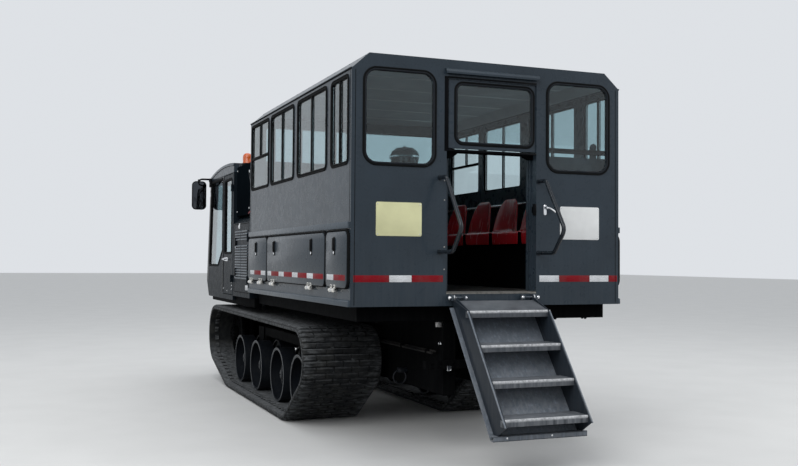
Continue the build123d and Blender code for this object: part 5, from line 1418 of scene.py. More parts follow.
bm = bmesh.new()
addBlock(bm, *belly["barPlate"])
ahead, z = belly["valvePlace"]
for start, end, radius, sides, bevel in belly["valve"]:
    addRound(bm, at(start, ahead, z), at(end, ahead, z), radius, sides, bevel)
finishPiece("railFittings", bm, "chrome")
sockets, sills, rings = bmesh.new(), bmesh.new(), bmesh.new()
out, height, radius, thick = belly["ring"]
eyeOuts, half, eyeUp, bevel = belly["ringEye"]
for sign in (-1, 1):
    for bm, (outs, *rest) in ((sockets, belly["rearSocket"]), (sills, belly["baySill"])):
        addBlock(bm, [sign * x for x in outs], *rest)
    for ahead in belly["rings"]:
        addLathe(rings, roundBar(radius, thick, 8), at(sign * out, ahead, height), (0, 1, 0), 28, True)
        addBlock(rings, [sign * x for x in eyeOuts], (ahead - half, ahead + half), eyeUp, bevel)
finishPiece("rearSockets", sockets, "bare")
finishPiece("baySills", sills, "frame")
finishPiece("lashingRings", rings, "wheel", slot="dark_steel")
print("underside done")

# passenger seats: moulded shells with a rolled front edge and raised sides, on folded feet
seat = {
    "starts": (0.150, 0.695, 1.240, 1.785, 2.330),
    "middle": 0.243,
    "width": 0.484,
    # out from the middle plane, height, half width as a share, how far the sides rise
    "path": ((0.6045, 1.603, 0.97, 0.0), (0.6015, 1.640, 0.985, 0.0), (0.6010, 1.685, 0.995, 0.0),
             (0.6030, 1.704, 1.0, 0.001), (0.6090, 1.7135, 1.0, 0.002), (0.6220, 1.7155, 1.0, 0.003),
             (0.6550, 1.7060, 1.0, 0.008), (0.7000, 1.6960, 1.0, 0.013), (0.7600, 1.6910, 1.0, 0.016),
             (0.8200, 1.6920, 1.0, 0.018), (0.8700, 1.7000, 0.995, 0.022), (0.8970, 1.7200, 0.985, 0.026),
             (0.9100, 1.7560, 0.965, 0.030), (0.9180, 1.8100, 0.925, 0.030), (0.9270, 1.8700, 0.870, 0.028),
             (0.9370, 1.9250, 0.800, 0.024), (0.9440, 1.9700, 0.715, 0.018), (0.9500, 2.0080, 0.600, 0.010),
             (0.9540, 2.0320, 0.460, 0.004), (0.9570, 2.0430, 0.350, 0.0), (0.9600, 2.0400, 0.340, 0.0)),
    "across": (-1, -0.975, -0.93, -0.84, -0.68, -0.45, -0.2, 0, 0.2, 0.45, 0.68, 0.84, 0.93, 0.975, 1),
    "flat": 0.35,  # share of the half width that stays level
    "rolled": 0.93,  # share past which the edge rolls over
    "shell": 0.006,
    "edge": 0.012,
    "bolt": (0.9225, 0.15, 1.845),  # out, ahead and behind the middle, height
    "feet": ((0.035, 0.075), (0.411, 0.451)),
    "footOut": (0.640, 0.930),
    "footUp": (1.600, 1.688),
}


def seatRows(sign, start):
    # points of one shell, row by row from its front edge to the top of the back
    middle, half, path = rearFace + start + seat["middle"], seat["width"] / 2, seat["path"]
    flat, rolled = seat["flat"], seat["rolled"]
    for k, (out, z, wide, rise) in enumerate(path):
        before, after = path[max(k - 1, 0)], path[min(k + 1, len(path) - 1)]
        tangent = Vector((after[0] - before[0], after[1] - before[1])).normalized()
        inward = Vector((-tangent.y, tangent.x))  # towards the sitter
        row = []
        for share in seat["across"]:
            lift = rise * max(0, (abs(share) - flat) / (1 - flat)) ** 2.2
            roll = -seat["edge"] * max(0, (abs(share) - rolled) / (1 - rolled)) ** 2 if 4 < k < 18 else 0
            spot = Vector((out, z)) + inward * (lift + roll)
            row.append((sign * spot.x, middle + share * wide * half, spot.y))
        yield row


def thickened(bm):
    # the sheet as a mesh with its thickness, softened
    bmesh.ops.recalc_face_normals(bm, faces=bm.faces)
    shell = bpy.data.objects.new("shell", meshOf(bm))
    bpy.context.scene.collection.objects.link(shell)
    thick = shell.modifiers.new("thick", "SOLIDIFY")
    thick.thickness = seat["shell"]
    thick.offset = 0
    soft = shell.modifiers.new("soft", "SUBSURF")
    soft.levels = soft.render_levels = 1
    result = bpy.data.meshes.new_from_object(shell.evaluated_get(bpy.context.evaluated_depsgraph_get()))
    bpy.data.objects.remove(shell)
    return result


for side, sign in bothSides:
    bm, feet, bolts = bmesh.new(), bmesh.new(), []
    out, reach, z = seat["bolt"]
    footAcross = [sign * x for x in seat["footOut"]]
    for start in seat["starts"]:
        grid = [[bm.verts.new(spot) for spot in row] for row in seatRows(sign, start)]
        for first, second in zip(grid, grid[1:]):
            for a in range(len(first) - 1):
                bm.faces.new((first[a], first[a + 1], second[a + 1], second[a]))
        for y in (-reach, reach):
            bolts.append((at(sign * out, start + seat["middle"] + y, z), (-sign, 0, 0.15), (0, 1, 0)))
        for begin, end in seat["feet"]:
            addBlock(feet, footAcross, (start + begin, start + end), seat["footUp"], 0.003)
    finishPiece("seatShells_" + side, thickened(bm), "seat", replaces=("seats_" + side,), smooth=60)
    spread("seatBolts_" + side, screwItem(0.009, 0.005), bolts, "chrome")
    finishPiece("seatFeet_" + side, feet, "frame")
print("seats done")

# engine bay: louvre blades, latches, seals and small fittings of its sides
bay = {
    "half": 1.130,
    "door": (3.345, 4.060, 1.105, 1.835),
    "rows": ((1.246, 13), (1.664, 4)),  # first blade's height, count
    "pitch": 0.029,
    "bladeUp": 0.0005,
    "columns": (-0.155, 0.155),
    # height on the skin, out from it
    "blade": ((0.0155, -0.0005), (0.0140, 0.0050), (0.0090, 0.0092), (0.0000, 0.0105), (-0.0002, 0.0092),
              (0.0080, 0.0078), (0.0122, 0.0040), (0.0138, -0.0005)),
    "bladeEnd": ((0.0150, -0.0005), (0.0137, 0.0048), (0.0088, 0.0090), (0.0002, 0.0102), (0.0, -0.0005)),
    "bladeHalf": 0.1465,
    "endHalf": 0.0008,
    "seal": ((-0.0035, 0.0002), (-0.0035, 0.0012), (0.0035, 0.0012), (0.0035, 0.0002)),
    "sealSet": 0.004,
    "latches": (3.985, (1.306, 1.640), 0.066),  # ahead, heights, half height
}
bayLatch = {
    "half": 0.030,
    "bezel": ((0, 0.0002), (0, 0.003), (-0.002, 0.0048)),
    "paddle": ((0, 0.003), (0, 0.010), (-0.003, 0.0145), (-0.008, 0.016)),
    "paddleSet": (0.007, 0.030, 0.008),
    "key": (0.011, 0.016, 0.003, 20),
}
# plates on the bay's sides: name, look, rides on the door, and for each layer its start, end, bottom, top,
# corner radius, steps of a corner, profile
bayPlates = (
    ("bayReflector", "whiteTape", True,
     ((3.385, 3.505, 1.130, 1.182, 0.004, 3, ((0, -0.0003), (0, 0.0005), (-0.0006, 0.0009))),)),
    ("bayClamp", "bright", False,
     ((3.778, 3.802, 1.786, 1.846, 0.006, 4, ((0, 0.0002), (0, 0.006), (-0.002, 0.009))),
      (3.7816, 3.7984, 1.790, 1.826, 0.006, 4, ((0, 0.008), (0, 0.014), (-0.002, 0.017))))),
    ("bayBumper", "seal", False,
     ((3.302, 3.338, 1.336, 1.480, 0.016, 6, ((0, -0.001), (0, 0.010), (-0.006, 0.018), (-0.014, 0.021))),)),
    ("bayStrip", "rail", False,
     ((3.3004, 3.3075, 1.052, 1.846, 0.003, 2, ((0, 0.0001), (0, 0.0010), (-0.0006, 0.0014))),)),
)


def bladeItem():
    bm = bmesh.new()
    half, thick = bay["bladeHalf"], bay["endHalf"]
    addPrism(bm, bay["blade"], lambda up, out, end: Vector((half if end else -half, up, out)))
    for x in (-half, half):
        addPrism(bm, bay["bladeEnd"], lambda up, out, end: Vector((x + (thick if end else -thick), up, out)))
    return meshOf(bm)


for side, sign in bothSides:
    plane, outward = sidePlane(sign, bay["half"]), (sign, 0, 0)
    start, end, bottom, top = bay["door"]
    middle, body = (start + end) / 2, "engine_door_" + side
    places = [(plane(middle + column, foot + k * bay["pitch"] + bay["bladeUp"], 0.0), outward, (0, 0, 1))
              for foot, count in bay["rows"] for k in range(count) for column in bay["columns"]]
    # the blades take the lighter rail paint: a painted highlight against the dark slots
    spread("louvres_" + side, bladeItem(), places, "rail", body, smooth=25)
    seal, inset = bmesh.new(), bay["sealSet"]
    loop = roundedLoop(start - inset, end + inset, bottom - inset, top + inset, 0.006, 3)
    addRing(seal, loop, bay["seal"], plane)
    finishPiece("baySeal_" + side, seal, "seal")
    case, keys = bmesh.new(), bmesh.new()
    ahead, heights, reach = bay["latches"]
    for z in heights:
        addLatch(case, keys, bayLatch, ahead, z - reach, z + reach, 0, plane, outward)
    finishPiece("bayLatches_" + side, case, "trim", body)
    finishPiece("bayKeys_" + side, keys, "chrome", body)
    for name, look, onDoor, layers in bayPlates:
        bm = bmesh.new()
        for *loop, profile in layers:
            addPlate(bm, roundedLoop(*loop), profile, plane)
        finishPiece(name + "_" + side, bm, look, body if onDoor else "carrier")

# cooler box: folded sheet with bars over the core, a fan guard on top, bolts, a hook and a red marker
cooler = {
    "box": ((-1.100, -0.200), (3.310, 4.110), (1.9302, 2.4898)),
    "bars": (15, 0.055, 0.032, 0.0025),  # count, first, pitch, half height
    "barEnd": 0.06,
    "barDepth": (0.0040, 0.002),  # proud, set in
    "posts": (6, 0.07, 0.003, 0.0052),  # count, first, half width, proud
    "postUp": (0.045, 0.515),
    "fan": (-0.650, 3.710, 0.300),
    "guard": (8, 0.003),  # rings and spokes, bar radius
    "guardUp": (0.003, 0.001),  # of the rings, of the spokes
    "hub": ((0, -0.002), (0.045, -0.002), (0.045, 0.006), (0.038, 0.010), (0, 0.010)),
    # ahead, height, radius
    "bolts": ((3.470, 2.389, 0.019), (3.355, 2.003, 0.011), (3.470, 2.003, 0.011), (4.060, 2.440, 0.008),
              (4.060, 1.985, 0.008)),
    # out, ahead, height
    "hook": ((0.006, 3.470, 2.380), (0.008, 3.440, 2.330), (0.005, 3.385, 2.255)),
    "cap": (-1.055, 4.050, 0.034),
    "marker": ((3.330, 1.972), (3.520, 1.940), (3.525, 1.952), (3.335, 1.992)),
    "markerOut": (-0.0004, 0.0012),
}
upwards = (0, 0, 1)
across, ahead, up = cooler["box"]
(low, high), (start, stop), (foot, head) = across, ahead, up
bm = bmesh.new()
addBlock(bm, across, ahead, up, 0.012, 3)
finishPiece("coolerCase", bm, "blackPaint", replaces=("cooler_box",))
bars = bmesh.new()
count, first, pitch, half = cooler["bars"]
barEnd, (proud, deep) = cooler["barEnd"], cooler["barDepth"]
for k in range(count):
    z = foot + first + k * pitch
    for depth in ((start - proud, start + deep), (stop - deep, stop + proud)):
        addBlock(bars, (low + barEnd, high - barEnd), depth, (z - half, z + half), 0.001, 1)
count, first, half, proud = cooler["posts"]
below, above = cooler["postUp"]
for k in range(count):
    x = low + first + k * (high - low - 2 * first) / (count - 1)
    addBlock(bars, (x - half, x + half), (start - proud, start + 0.001), (foot + below, foot + above), 0.001, 1)
x, ahead, radius = cooler["fan"]
(count, thick), (ringUp, spokeUp) = cooler["guard"], cooler["guardUp"]
for k in range(count):
    ring, a = radius * (k + 1) / count, 2 * pi * k / count
    addLathe(bars, roundBar(ring, thick, 6, ringUp), at(x, ahead, head), upwards, 48, True)
    addRound(bars, at(x + 0.03 * cos(a), ahead + 0.03 * sin(a), head + spokeUp),
             at(x + radius * cos(a), ahead + radius * sin(a), head + spokeUp), thick, 8)
addLathe(bars, cooler["hub"], at(x, ahead, head), upwards, 32)
finishPiece("coolerBars", bars, "trim")
bm = bmesh.new()
for ahead, z, radius in cooler["bolts"]:
    addLathe(bm, ((0, -0.0005), (radius, -0.0005), (radius, 0.004), (radius * 0.6, 0.0085), (0, 0.009)),
             at(low, ahead, z), (-1, 0, 0), 24)
finishPiece("coolerBolts", bm, "bright")
bm = bmesh.new()
addTube(bm, smoothPath([at(low - out, ahead, z) for out, ahead, z in cooler["hook"]], 5), 0.0045, 10)
x, ahead, radius = cooler["cap"]
addRound(bm, at(x, ahead, head - 0.002), at(x, ahead, head + 0.022), radius, 28, 0.004)
finishPiece("coolerFittings", bm, "handle")
bm = bmesh.new()
addPrism(bm, cooler["marker"], lambda a, b, end: at(low - cooler["markerOut"][end], a, b))
finishPiece("coolerMarker", bm, "redTape")

# air cleaner's bands with their clips, and the beacon
hoodTop = {
    "cleaner": (0.760, 3.700),
    "bands": ((2.535, 0.1605), (2.650, 0.1685)),  # height, radius
    "band": ((0, -0.008), (0.0022, -0.008), (0.0026, 0), (0.0022, 0.008), (0, 0.008)),
    "clips": (0.6, 2.7, 4.8),  # turn in radians
    "clipRadius": 0.1700,
    "clipHalf": 0.008,
    "clipUp": (2.628, 2.668),
    "nut": ((0, 0), (0.020, 0), (0.020, 0.010), (0.006, 0.013), (0, 0.013)),
    "nutHeight": 2.7655,
    "beacon": (-1.014, 3.975, 2.490),
    "beaconBase": ((0.0, 0.0002), (0.064, 0.0002), (0.064, 0.030), (0.0605, 0.034), (0.0, 0.034)),
    "beaconDome": ((0.0, 0.0342), (0.0540, 0.0342), (0.0540, 0.040), (0.0515, 0.043), (0.0530, 0.098),
                   (0.0500, 0.118), (0.0440, 0.131), (0.0340, 0.1415), (0.0200, 0.1475), (0.0, 0.1500)),
}
x, ahead = hoodTop["cleaner"]
bm = bmesh.new()
for z, radius in hoodTop["bands"]:
    addLathe(bm, [(radius + out, z + up) for out, up in hoodTop["band"]], at(x, ahead, 0), upwards, 48, True)
half = hoodTop["clipHalf"]
for a in hoodTop["clips"]:
    clipX, clipAhead = x + hoodTop["clipRadius"] * cos(a), ahead + hoodTop["clipRadius"] * sin(a)
    addBlock(bm, (clipX - half, clipX + half), (clipAhead - half, clipAhead + half), hoodTop["clipUp"], 0.002)
addLathe(bm, hoodTop["nut"], at(x, ahead, hoodTop["nutHeight"]), upwards, 6)
finishPiece("cleanerBands", bm, "bright")
spot = at(*hoodTop["beacon"])
bm = bmesh.new()
addLathe(bm, hoodTop["beaconBase"], spot, upwards, 40)
finishPiece("beaconBase", bm, "trim")
bm = bmesh.new()
addLathe(bm, hoodTop["beaconDome"], spot, upwards, 48)
finishPiece("beaconDome", bm, "amber", replaces=("beacon",), smooth=50)
print("engine bay done")

# cab outside: gaskets, dark posts, roof rims, door fittings and mirrors
cab = {
    "half": 1.130,
    "rear": 4.137,
    "top": (5.517, 2.475),  # upper front corner: ahead, height
    "low": (5.706, 1.190),
    "arc": ((4.137, 2.540), (4.827, 2.556), (5.517, 2.475)),
    "arcSteps": 24,
    "rim": (0.0035, 0.026, 0.0060),  # under the arc, height, proud
    "rimSeam": (0.0002, 0.0050, 0.0020),  # under the rim, height, proud
    "setIn": -0.0004,
    "doorGlass": (4.227, 4.613, 1.530, 2.369, 0.025, 6),
    "sideGlass": ((5.000, 1.385), (5.565, 1.385), (5.440, 2.405), (4.740, 2.405), (4.740, 1.560)),
    "screen": (1.040, 1.330, 2.400, 0.004, 2),
    "backGlass": (0.980, 2.010, 2.400, 0.025, 6),
    "profile": ((-0.0004, -0.020), (-0.012, -0.020), (-0.012, 0.001), (-0.009, 0.006), (-0.002, 0.0065),
                (0.008, 0.0060), (0.014, 0.0035), (0.015, 0.0005), (-0.0004, 0.0005)),
    "frontPost": ((5.452, 2.405), (5.578, 1.385), (5.590, 1.200), (5.700, 1.200), (5.514, 2.462),
                  (5.440, 2.470)),
    "middlePost": (4.678, 4.732, 1.075, 2.425, 0.006, 3),
    "post": ((0, -0.0004), (0, 0.0024), (-0.0014, 0.0032)),
    "postProud": 0.0020,
    "markers": ((5.512, 5.540, 2.238, 2.292, 0.004, 3), (5.512, 5.540, 2.318, 2.386, 0.004, 3)),
    "marker": ((0, 0.0018), (0, 0.0030), (-0.0008, 0.0034)),
    "doorEdge": (4.1735, 4.1800, 1.066, 2.420, 0.003, 2),
    "edge": ((0, 0.0001), (0, 0.0012), (-0.0006, 0.0018)),
    "screws": ((4.20, 1.120), (4.20, 1.160), (4.20, 1.200), (4.44, 1.095), (4.64, 1.120)),
    "handle": (4.408, 4.608, 1.435, 1.479, 0.0198, 6),
    "handlePlate": ((0, 0.0002), (0, 0.005), (-0.004, 0.009)),
    "grip": ((4.578, 0.006), (4.574, 0.032), (4.508, 0.040), (4.418, 0.034)),  # ahead, proud
    "gripHeight": 1.457,
    "lock": (4.590, 0.007),
    "lockKnob": ((0, 0), (0.016, 0), (0.016, 0.008), (0.012, 0.012), (0, 0.012)),
}


def screenPlace(a, b, proud):
    # point on the leaning front
    (topY, topZ), (lowY, lowZ) = cab["top"], cab["low"]
    lean = atan2(lowY - topY, topZ - lowZ)
    y = lowY + (topY - lowY) * (b - lowZ) / (topZ - lowZ)
    return at(a, y + proud * cos(lean), b + proud * sin(lean))


def arcPoints():
    # line of the roof's edge, from the rear to the front, through the height of its middle
    (y0, z0), (_, middleZ), (y2, z2) = cab["arc"]
    points = []
    for k in range(cab["arcSteps"] + 1):
        share = k / cab["arcSteps"]
        z = z0 + (z2 - z0) * share + (middleZ - (z0 + z2) / 2) * 4 * share * (1 - share)
        points.append((y0 + (y2 - y0) * share, z - cab["rim"][0]))
    return points


def addBand(bm, line, under, height, proud, plane, bevel=0.0):
    # strip of even height under a line
    band = [(y, z - under) for y, z in line] + [(y, z - under - height) for y, z in reversed(line)]
    addPrism(bm, band, lambda a, b, end: plane(a, b, proud if end else cab["setIn"]), bevel)


mirror = {
    "glass": (1.255, 5.630, 2.0805, 2.4395, 0.090),  # out, ahead, bottom, top, half width
    # inwards from the case's outline, depth
    "case": ((-0.042, -0.0595), (-0.020, -0.0560), (-0.006, -0.0440), (0, -0.0280), (0, -0.0030),
             (-0.003, -0.0005), (-0.009, -0.0005), (-0.0105, -0.0040)),
    "pane": ((0, -0.0042), (0, -0.0028), (-0.001, -0.0024)),
    "paneSet": (0.0120, 0.0115),
    "arm": ((1.128, 5.472), (1.200, 5.472), (1.243, 5.484), (1.255, 5.527), (1.255, 5.660)),  # out, ahead
    "armHeight": 2.452,
    "armRadius": 0.0115,
    "foot": ((1.129, 1.156), (5.440, 5.500), (2.356, 2.4635)),
    "posts": ((1.148, 5.472, 2.422, 0.018), (1.255, 5.660, 2.4275, 0.016)),  # out, ahead, lower end, radius
    "postTop": 2.4638,
}
gaskets = bmesh.new()
for side, sign in bothSides:
    plane, outward, body = sidePlane(sign, cab["half"]), (sign, 0, 0), "cab_door_" + side
    doorGasket, posts, markers, edge = bmesh.new(), bmesh.new(), bmesh.new(), bmesh.new()
    addRing(doorGasket, roundedLoop(*cab["doorGlass"]), cab["profile"], plane)
    addRing(gaskets, roundedPolygon(cab["sideGlass"], 0.030), cab["profile"], plane)
    addPlate(posts, roundedLoop(*cab["middlePost"]), cab["post"], plane)
    addPrism(posts, cab["frontPost"], lambda a, b, end: plane(a, b, cab["postProud"] if end else cab["setIn"]))
    for marker in cab["markers"]:
        addPlate(markers, roundedLoop(*marker), cab["marker"], plane)
    addPlate(edge, roundedLoop(*cab["doorEdge"]), cab["edge"], plane)
    finishPiece("cabDoorGasket_" + side, doorGasket, "seal", body)
    finishPiece("cabPosts_" + side, posts, "blackGloss")
    finishPiece("cabMarkers_" + side, markers, "whiteTape")
    finishPiece("cabDoorEdge_" + side, edge, "rail", body)
    rim, seam = bmesh.new(), bmesh.new()
    line, (_, height, proud) = arcPoints(), cab["rim"]
    addBand(rim, line, 0.0, height, proud, plane, 0.0012)
    under, seamHeight, proud = cab["rimSeam"]
    addBand(seam, line, height + under, seamHeight, proud, plane)
    finishPiece("cabRim_" + side, rim, "rail")
    finishPiece("cabRimSeam_" + side, seam, "seal")
    handle, height = bmesh.new(), cab["gripHeight"]
    addPlate(handle, roundedLoop(*cab["handle"]), cab["handlePlate"], plane)
    addTube(handle, smoothPath([plane(a, height, proud) for a, proud in cab["grip"]], 5), 0.0085, 12)
    ahead, proud = cab["lock"]
    addLathe(handle, cab["lockKnob"], plane(ahead, height, proud), outward, 24)
    finishPiece("cabHandle_" + side, handle, "chrome", body)
    screws = [(plane(a, b, 0.0001), outward, (0, 1, 0)) for a, b in cab["screws"]]
    spread("cabScrews_" + side, screwItem(0.0085, 0.005), screws, "bright", body)

    # mirror: housing with a set-in glass on a bent arm
    out, ahead, bottom, top, half = mirror["glass"]
    back = endPlane(rearFace + ahead, -1)
    low, high = sorted((sign * (out - half), sign * (out + half)))
    case, pane = bmesh.new(), bmesh.new()
    addPlate(case, roundedLoop(low + 0.0005, high - 0.0005, bottom, top, 0.052, 8), mirror["case"], back)
    arm = smoothPath([at(sign * x, y, mirror["armHeight"]) for x, y in mirror["arm"]], 6)
    addTube(case, arm, mirror["armRadius"], 14)
    outs, footAhead, footUp = mirror["foot"]
    addBlock(case, [sign * x for x in outs], footAhead, footUp, 0.005, 3)
    for x, y, z, radius in mirror["posts"]:
        addRound(case, at(sign * x, y, z), at(sign * x, y, mirror["postTop"]), radius, 20, 0.002)
    finishPiece("mirror_" + side, case, "trim", replaces=("mirrors",) if sign < 0 else ())
    inset, upInset = mirror["paneSet"]
    loop = roundedLoop(low + inset, high - inset, bottom + upInset, top - upInset, 0.041, 8)
    addPlate(pane, loop, mirror["pane"], back)
    finishPiece("mirrorGlass_" + side, pane, "mirror")
half, *rest = cab["screen"]
addRing(gaskets, roundedLoop(-half, half, *rest), cab["profile"], screenPlace)
half, *rest = cab["backGlass"]
addRing(gaskets, roundedLoop(-half, half, *rest), cab["profile"], endPlane(rearFace + cab["rear"], -1))
finishPiece("cabGaskets", gaskets, "seal")

# wipers with their arms, and the front's lamps
cabFront = {
    "wiper": 0.30,
    "wiperFoot": (1.292, 0.026, 0.017),  # height, proud, radius
    # across from the foot, height, proud
    "arm": ((0.0, 1.292, 0.022), (0.10, 1.52, 0.026), (0.20, 1.72, 0.018)),
    "blade": ((0.085, 1.42, 0.004), (0.20, 1.72, 0.005), (0.315, 2.02, 0.004)),
    "lamp": (0.900, 5.720, 0.710),  # out, ahead, height
    "bezel": ((0.066, -0.001), (0.0745, -0.001), (0.0745, 0.030), (0.071, 0.037), (0.0665, 0.037),
              (0.0655, 0.030)),
    "lens": ((0, 0.0005), (0.0665, 0.0005), (0.0665, 0.026), (0.058, 0.0325), (0.035, 0.0375), (0, 0.0390)),
    "blinker": (0.93, 1.04, 1.222, 1.282),  # out, out, bottom, top
    "blinkerPlate": ((0, 0.0002), (0, 0.012), (-0.006, 0.018)),
}
wipers, bezels, lenses, blinkers = bmesh.new(), bmesh.new(), bmesh.new(), bmesh.new()
for sign in (-1, 1):
    foot = sign * cabFront["wiper"]
    height, proud, radius = cabFront["wiperFoot"]
    addRound(wipers, screenPlace(foot, height, 0.0), screenPlace(foot, height, proud), radius, 20, 0.002)
    for path, radius, sides in ((cabFront["arm"], 0.006, 10), (cabFront["blade"], 0.0055, 8)):
        addTube(wipers, [screenPlace(foot + sign * x, b, proud) for x, b, proud in path], radius, sides)
    out, ahead, height = cabFront["lamp"]
    spot = at(sign * out, ahead, height)
    addLathe(bezels, cabFront["bezel"], spot, (0, 1, 0), 40, True)
    addLathe(lenses, cabFront["lens"], spot, (0, 1, 0), 40)
    inner, outer, bottom, top = cabFront["blinker"]
    loop = roundedLoop(*sorted((sign * inner, sign * outer)), bottom, top, 0.016, 6)
    addPlate(blinkers, loop, cabFront["blinkerPlate"], screenPlace)
finishPiece("wipers", wipers, "trim")
finishPiece("lampBezels", bezels, "chrome")
finishPiece("lampLenses", lenses, "lamp", replaces=("headlamps",))
finishPiece("blinkers", blinkers, "amber")
print("cab outside done")

# driver's place: padded seat on its sprung box, dash with gauges, wheel, levers and pedals
driver = {
    # low corner, high corner: across, ahead, up
    "cushion": ((-0.245, 4.425, 1.352), (0.245, 4.918, 1.478)),
    # axis across the seam, place along it, depth, axis of the face that it is in
    "cushionCreases": ((0, -0.150, 0.010, 2), (0, 0.150, 0.010, 2), (1, rearFace + 4.600, 0.007, 2),
                       (1, rearFace + 4.745, 0.007, 2)),
    "back": ((-0.235, 4.332, 1.462), (0.235, 4.428, 2.020)),
    "backCreases": ((0, -0.145, 0.010, 1), (0, 0.145, 0.010, 1), (2, 1.640, 0.007, 1), (2, 1.800, 0.007, 1)),
    "squareness": 7,
    "box": (0.178, 4.482, 4.858, 1.0402, 1.330),  # half width, start, end, bottom, top
    "plinth": 0.05,
    "folds": (7, 0.052, 0.031, 0.030, 0.012, 0.010),  # count, first, pitch, height, set in, bulge
    "boxLid": (0.02, -0.008, 0.024),  # past the ends, below and above the box's top
}
cushions = (("seatCushion", "cushion", ("cab_seat",)), ("seatBack", "back", ()))
for name, part, replaced in cushions:
    bm = bmesh.new()
    low, high = driver[part]
    addCushion(bm, at(*low), at(*high), driver["squareness"], driver[part + "Creases"])
    finishPiece(name, bm, "cloth", replaces=replaced, smooth=70)
bm = bmesh.new()
half, start, end, bottom, top = driver["box"]
addBlock(bm, (-half, half), (start, end), (bottom, bottom + driver["plinth"]), 0.004)
count, first, pitch, height, inset, bulge = driver["folds"]
for k in range(count):
    shift = inset - (0.0 if k % 2 else bulge)
    z = bottom + first + k * pitch
    addBlock(bm, (-half + shift, half - shift), (start + shift, end - shift), (z, z + height), 0.007)
past, below, above = driver["boxLid"]
addBlock(bm, (-half, half), (start - past, end + past), (top + below, top + above), 0.006)
finishPiece("seatBellows", bm, "trim")

dash = {
    "half": 0.498,
    # section: ahead, height
    "section": ((5.332, 1.284), (5.514, 1.284), (5.488, 1.478), (5.422, 1.478), (5.292, 1.369)),
    "face": ((5.292, 1.369), (5.422, 1.478)),  # lower and upper edge of the sloped panel
    "stand": ((-0.058, 0.058), (5.302, 5.498), (1.0402, 1.296)),
    "gauges": (-0.300, -0.195, -0.090, 0.090, 0.195),
    "ring": ((0.034, -0.002), (0.042, -0.002), (0.042, 0.006), (0.038, 0.009), (0.034, 0.006)),
    "pane": ((0, 0), (0.035, 0), (0.035, 0.003), (0, 0.0035)),
    "switches": (6, 0.280, 0.034),  # count, first, pitch
    "switch": ((-0.011, -0.018, -0.001), (0.011, 0.018, 0.008)),
}
bm, panes, rings = bmesh.new(), bmesh.new(), bmesh.new()
half = dash["half"]
addPrism(bm, dash["section"], lambda a, b, end: at(half if end else -half, a, b), 0.010)
addBlock(bm, *dash["stand"], 0.010, 3)
first, second = (at(0, *point) for point in dash["face"])
up = (second - first).normalized()
outward, middle = Vector((0, -up.z, up.y)), (first + second) / 2
for x in dash["gauges"]:
    addLathe(rings, dash["ring"], middle + Vector((x, 0, 0)), outward, 32, True)
    addLathe(panes, dash["pane"], middle + Vector((x, 0, 0)), outward, 32)
count, start, pitch = dash["switches"]
for k in range(count):
    spot = middle + Vector((start + pitch * k, 0, 0))
    turned = Matrix.Translation(spot) @ outward.to_track_quat("Z", "Y").to_matrix().to_4x4()
    switch = bmesh.new()
    addBox(switch, *dash["switch"], 0.002)
    bmesh.ops.transform(switch, matrix=turned, verts=switch.verts)
    bm.from_mesh(meshOf(switch))
finishPiece("dash", bm, "trim", replaces=("cab_console",))
finishPiece("gaugeRings", rings, "chrome")
finishPiece("gaugeFaces", panes, "blackGloss")

controls = {
    "wheel": (0.0, 5.130, 1.560),
    "rim": (0.185, 0.013),  # radius, thickness
    "hub": ((0, -0.018), (0.045, -0.018), (0.050, 0.0), (0.040, 0.014), (0, 0.018)),
    "column": (0, 0.50, -0.866),  # direction from the wheel down to the floor
    "columnRound": (0.42, 0.022),  # length, radius
    "spokes": (pi / 2, pi / 2 + 2.1, pi / 2 - 2.1),
    "levers": (-0.300, -0.245, 0.270),
    "rod": ((4.98, 1.040), (4.97, 1.30), (4.93, 1.56)),  # ahead, height
    "knob": ((0, -0.02), (0.014, -0.018), (0.021, 0.0), (0.021, 0.030), (0.014, 0.046), (0, 0.050)),
    "knobPlace": (4.93, 1.565),
    "boot": (0.035, (4.930, 5.020), (1.0402, 1.075)),  # half width, ahead, up
    "pedals": (-0.19, 0.17),
    "pedal": ((5.200, 1.060), (5.262, 1.190), (5.270, 1.186), (5.210, 1.056)),
    "pedalHalf": 0.045,
    "pedalStem": ((5.215, 1.070), (5.290, 1.0405), 0.009),
    "mat": ((-1.03, 1.03), (4.190, 5.49), (1.0404, 1.0450), 0.001),
}
bm = bmesh.new()
centre, column = at(*controls["wheel"]), Vector(controls["column"])
radius, thick = controls["rim"]
addLathe(bm, roundBar(radius, thick, 10), centre, -column, 56, True)
addLathe(bm, controls["hub"], centre, -column, 32)
side = Vector((1, 0, 0))
forward = column.cross(side)
for a in controls["spokes"]:
    addRound(bm, centre, centre + (side * cos(a) + forward * sin(a)) * radius, 0.009, 12)
length, radius = controls["columnRound"]
addRound(bm, centre, centre + column * length, radius, 20)
finishPiece("steeringWheel", bm, "trim")
bm, knobs = bmesh.new(), bmesh.new()
half, ahead, up = controls["boot"]
for x in controls["levers"]:
    addTube(bm, smoothPath([at(x, y, z) for y, z in controls["rod"]], 6), 0.008, 12)
    addLathe(knobs, controls["knob"], at(x, *controls["knobPlace"]), (0, 0, 1), 20)
    addBlock(knobs, (x - half, x + half), ahead, up, 0.006)
finishPiece("leverRods", bm, "chrome")
finishPiece("leverKnobs", knobs, "trim")
bm = bmesh.new()
half, (head, foot, radius) = controls["pedalHalf"], controls["pedalStem"]
for x in controls["pedals"]:
    addPrism(bm, controls["pedal"], lambda a, b, end: at(x + (half if end else -half), a, b), 0.002)
    addRound(bm, at(x, *head), at(x, *foot), radius, 10)
addBlock(bm, *controls["mat"])
finishPiece("pedals", bm, "mat")
print("driver's place done")

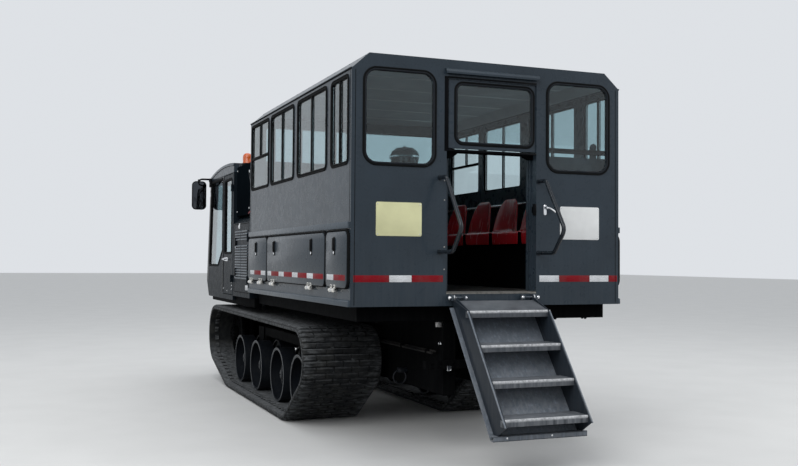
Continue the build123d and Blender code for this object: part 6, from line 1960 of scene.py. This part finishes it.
# floor, light and camera
studio = {
    "floor": (0.62, 0.62, 0.61),
    "bounce": (0.16, 0.16, 0.16),
    "sky": (0.86, 0.89, 0.93),
    "skyStrength": 0.85,
    "key": ((-7.5, -7.5, 9.0), 9.0, 620),
    "fill": ((8.0, -6.0, 5.0), 7.0, 160),
    "top": ((0.0, 1.0, 11.0), 10.0, 420),
    "aim": (0, 0, 1.2),
    "corners": ((-60, -60), (60, -60), (60, 90), (-60, 90)),
    "floorHeight": -0.0005,
}
floorMesh = bpy.data.meshes.new("floor")
floorMesh.from_pydata([(x, y, studio["floorHeight"]) for x, y in studio["corners"]], [], [(0, 1, 2, 3)])
floorLook, tree, shader, place = startMaterial("paleFloor", roughness=0.85)
patch = remap(tree, noise(tree, place, 1.6, 6), 0.3, 0.7)
pale = blendColour(tree, patch, studio["floor"], scaled(studio["floor"], 0.95))
# the pale colour is what is seen, straight, mirrored or through glass; light that bounces up is dimmer
rays = tree.nodes.new("ShaderNodeLightPath").outputs
seen = combine(tree, "MAXIMUM", rays["Is Glossy Ray"], rays["Is Transmission Ray"])
seen = combine(tree, "MAXIMUM", rays["Is Camera Ray"], seen)
tree.links.new(blendColour(tree, seen, studio["bounce"], pale), shader.inputs["Base Color"])
floorMesh.materials.append(floorLook)
floor = bpy.data.objects.new("floor", floorMesh)
bpy.context.scene.collection.objects.link(floor)

world = bpy.data.worlds.new("studio")
bpy.context.scene.world = world
world.use_nodes = True
backdrop = world.node_tree.nodes["Background"]
backdrop.inputs["Color"].default_value = studio["sky"] + (1,)
backdrop.inputs["Strength"].default_value = studio["skyStrength"]

# lamps: place, size, power
for name in ("key", "fill", "top"):
    spot, size, power = studio[name]
    lamp = bpy.data.lights.new(name, "AREA")
    lamp.shape = "DISK"
    lamp.size = size
    lamp.energy = power
    lampObject = bpy.data.objects.new(name, lamp)
    lampObject.location = spot
    lampObject.rotation_euler = (Vector(studio["aim"]) - Vector(spot)).to_track_quat("-Z", "Y").to_euler()
    bpy.context.scene.collection.objects.link(lampObject)

cameraSetup = {
    "place": (-3.3811, -9.0477, 1.4589),
    "turn": 21.596,  # degrees from straight ahead towards the right
    "tilt": 1.614,
    "roll": 0.386,
    "lens": 43.482,
    "sensor": 36,
    "farthest": 300,
}
cameraData = bpy.data.cameras.new("photoCamera")
cameraData.lens = cameraSetup["lens"]
cameraData.sensor_width = cameraSetup["sensor"]
cameraData.clip_end = cameraSetup["farthest"]
camera = bpy.data.objects.new("photoCamera", cameraData)
aim = (Matrix.Rotation(radians(-cameraSetup["turn"]), 3, "Z")
       @ Matrix.Rotation(radians(90 + cameraSetup["tilt"]), 3, "X")
       @ Matrix.Rotation(radians(cameraSetup["roll"]), 3, "Z"))
camera.location = cameraSetup["place"]
camera.rotation_euler = aim.to_euler()
bpy.context.scene.collection.objects.link(camera)
bpy.context.scene.camera = camera
bpy.context.scene.view_settings.view_transform = "Standard"
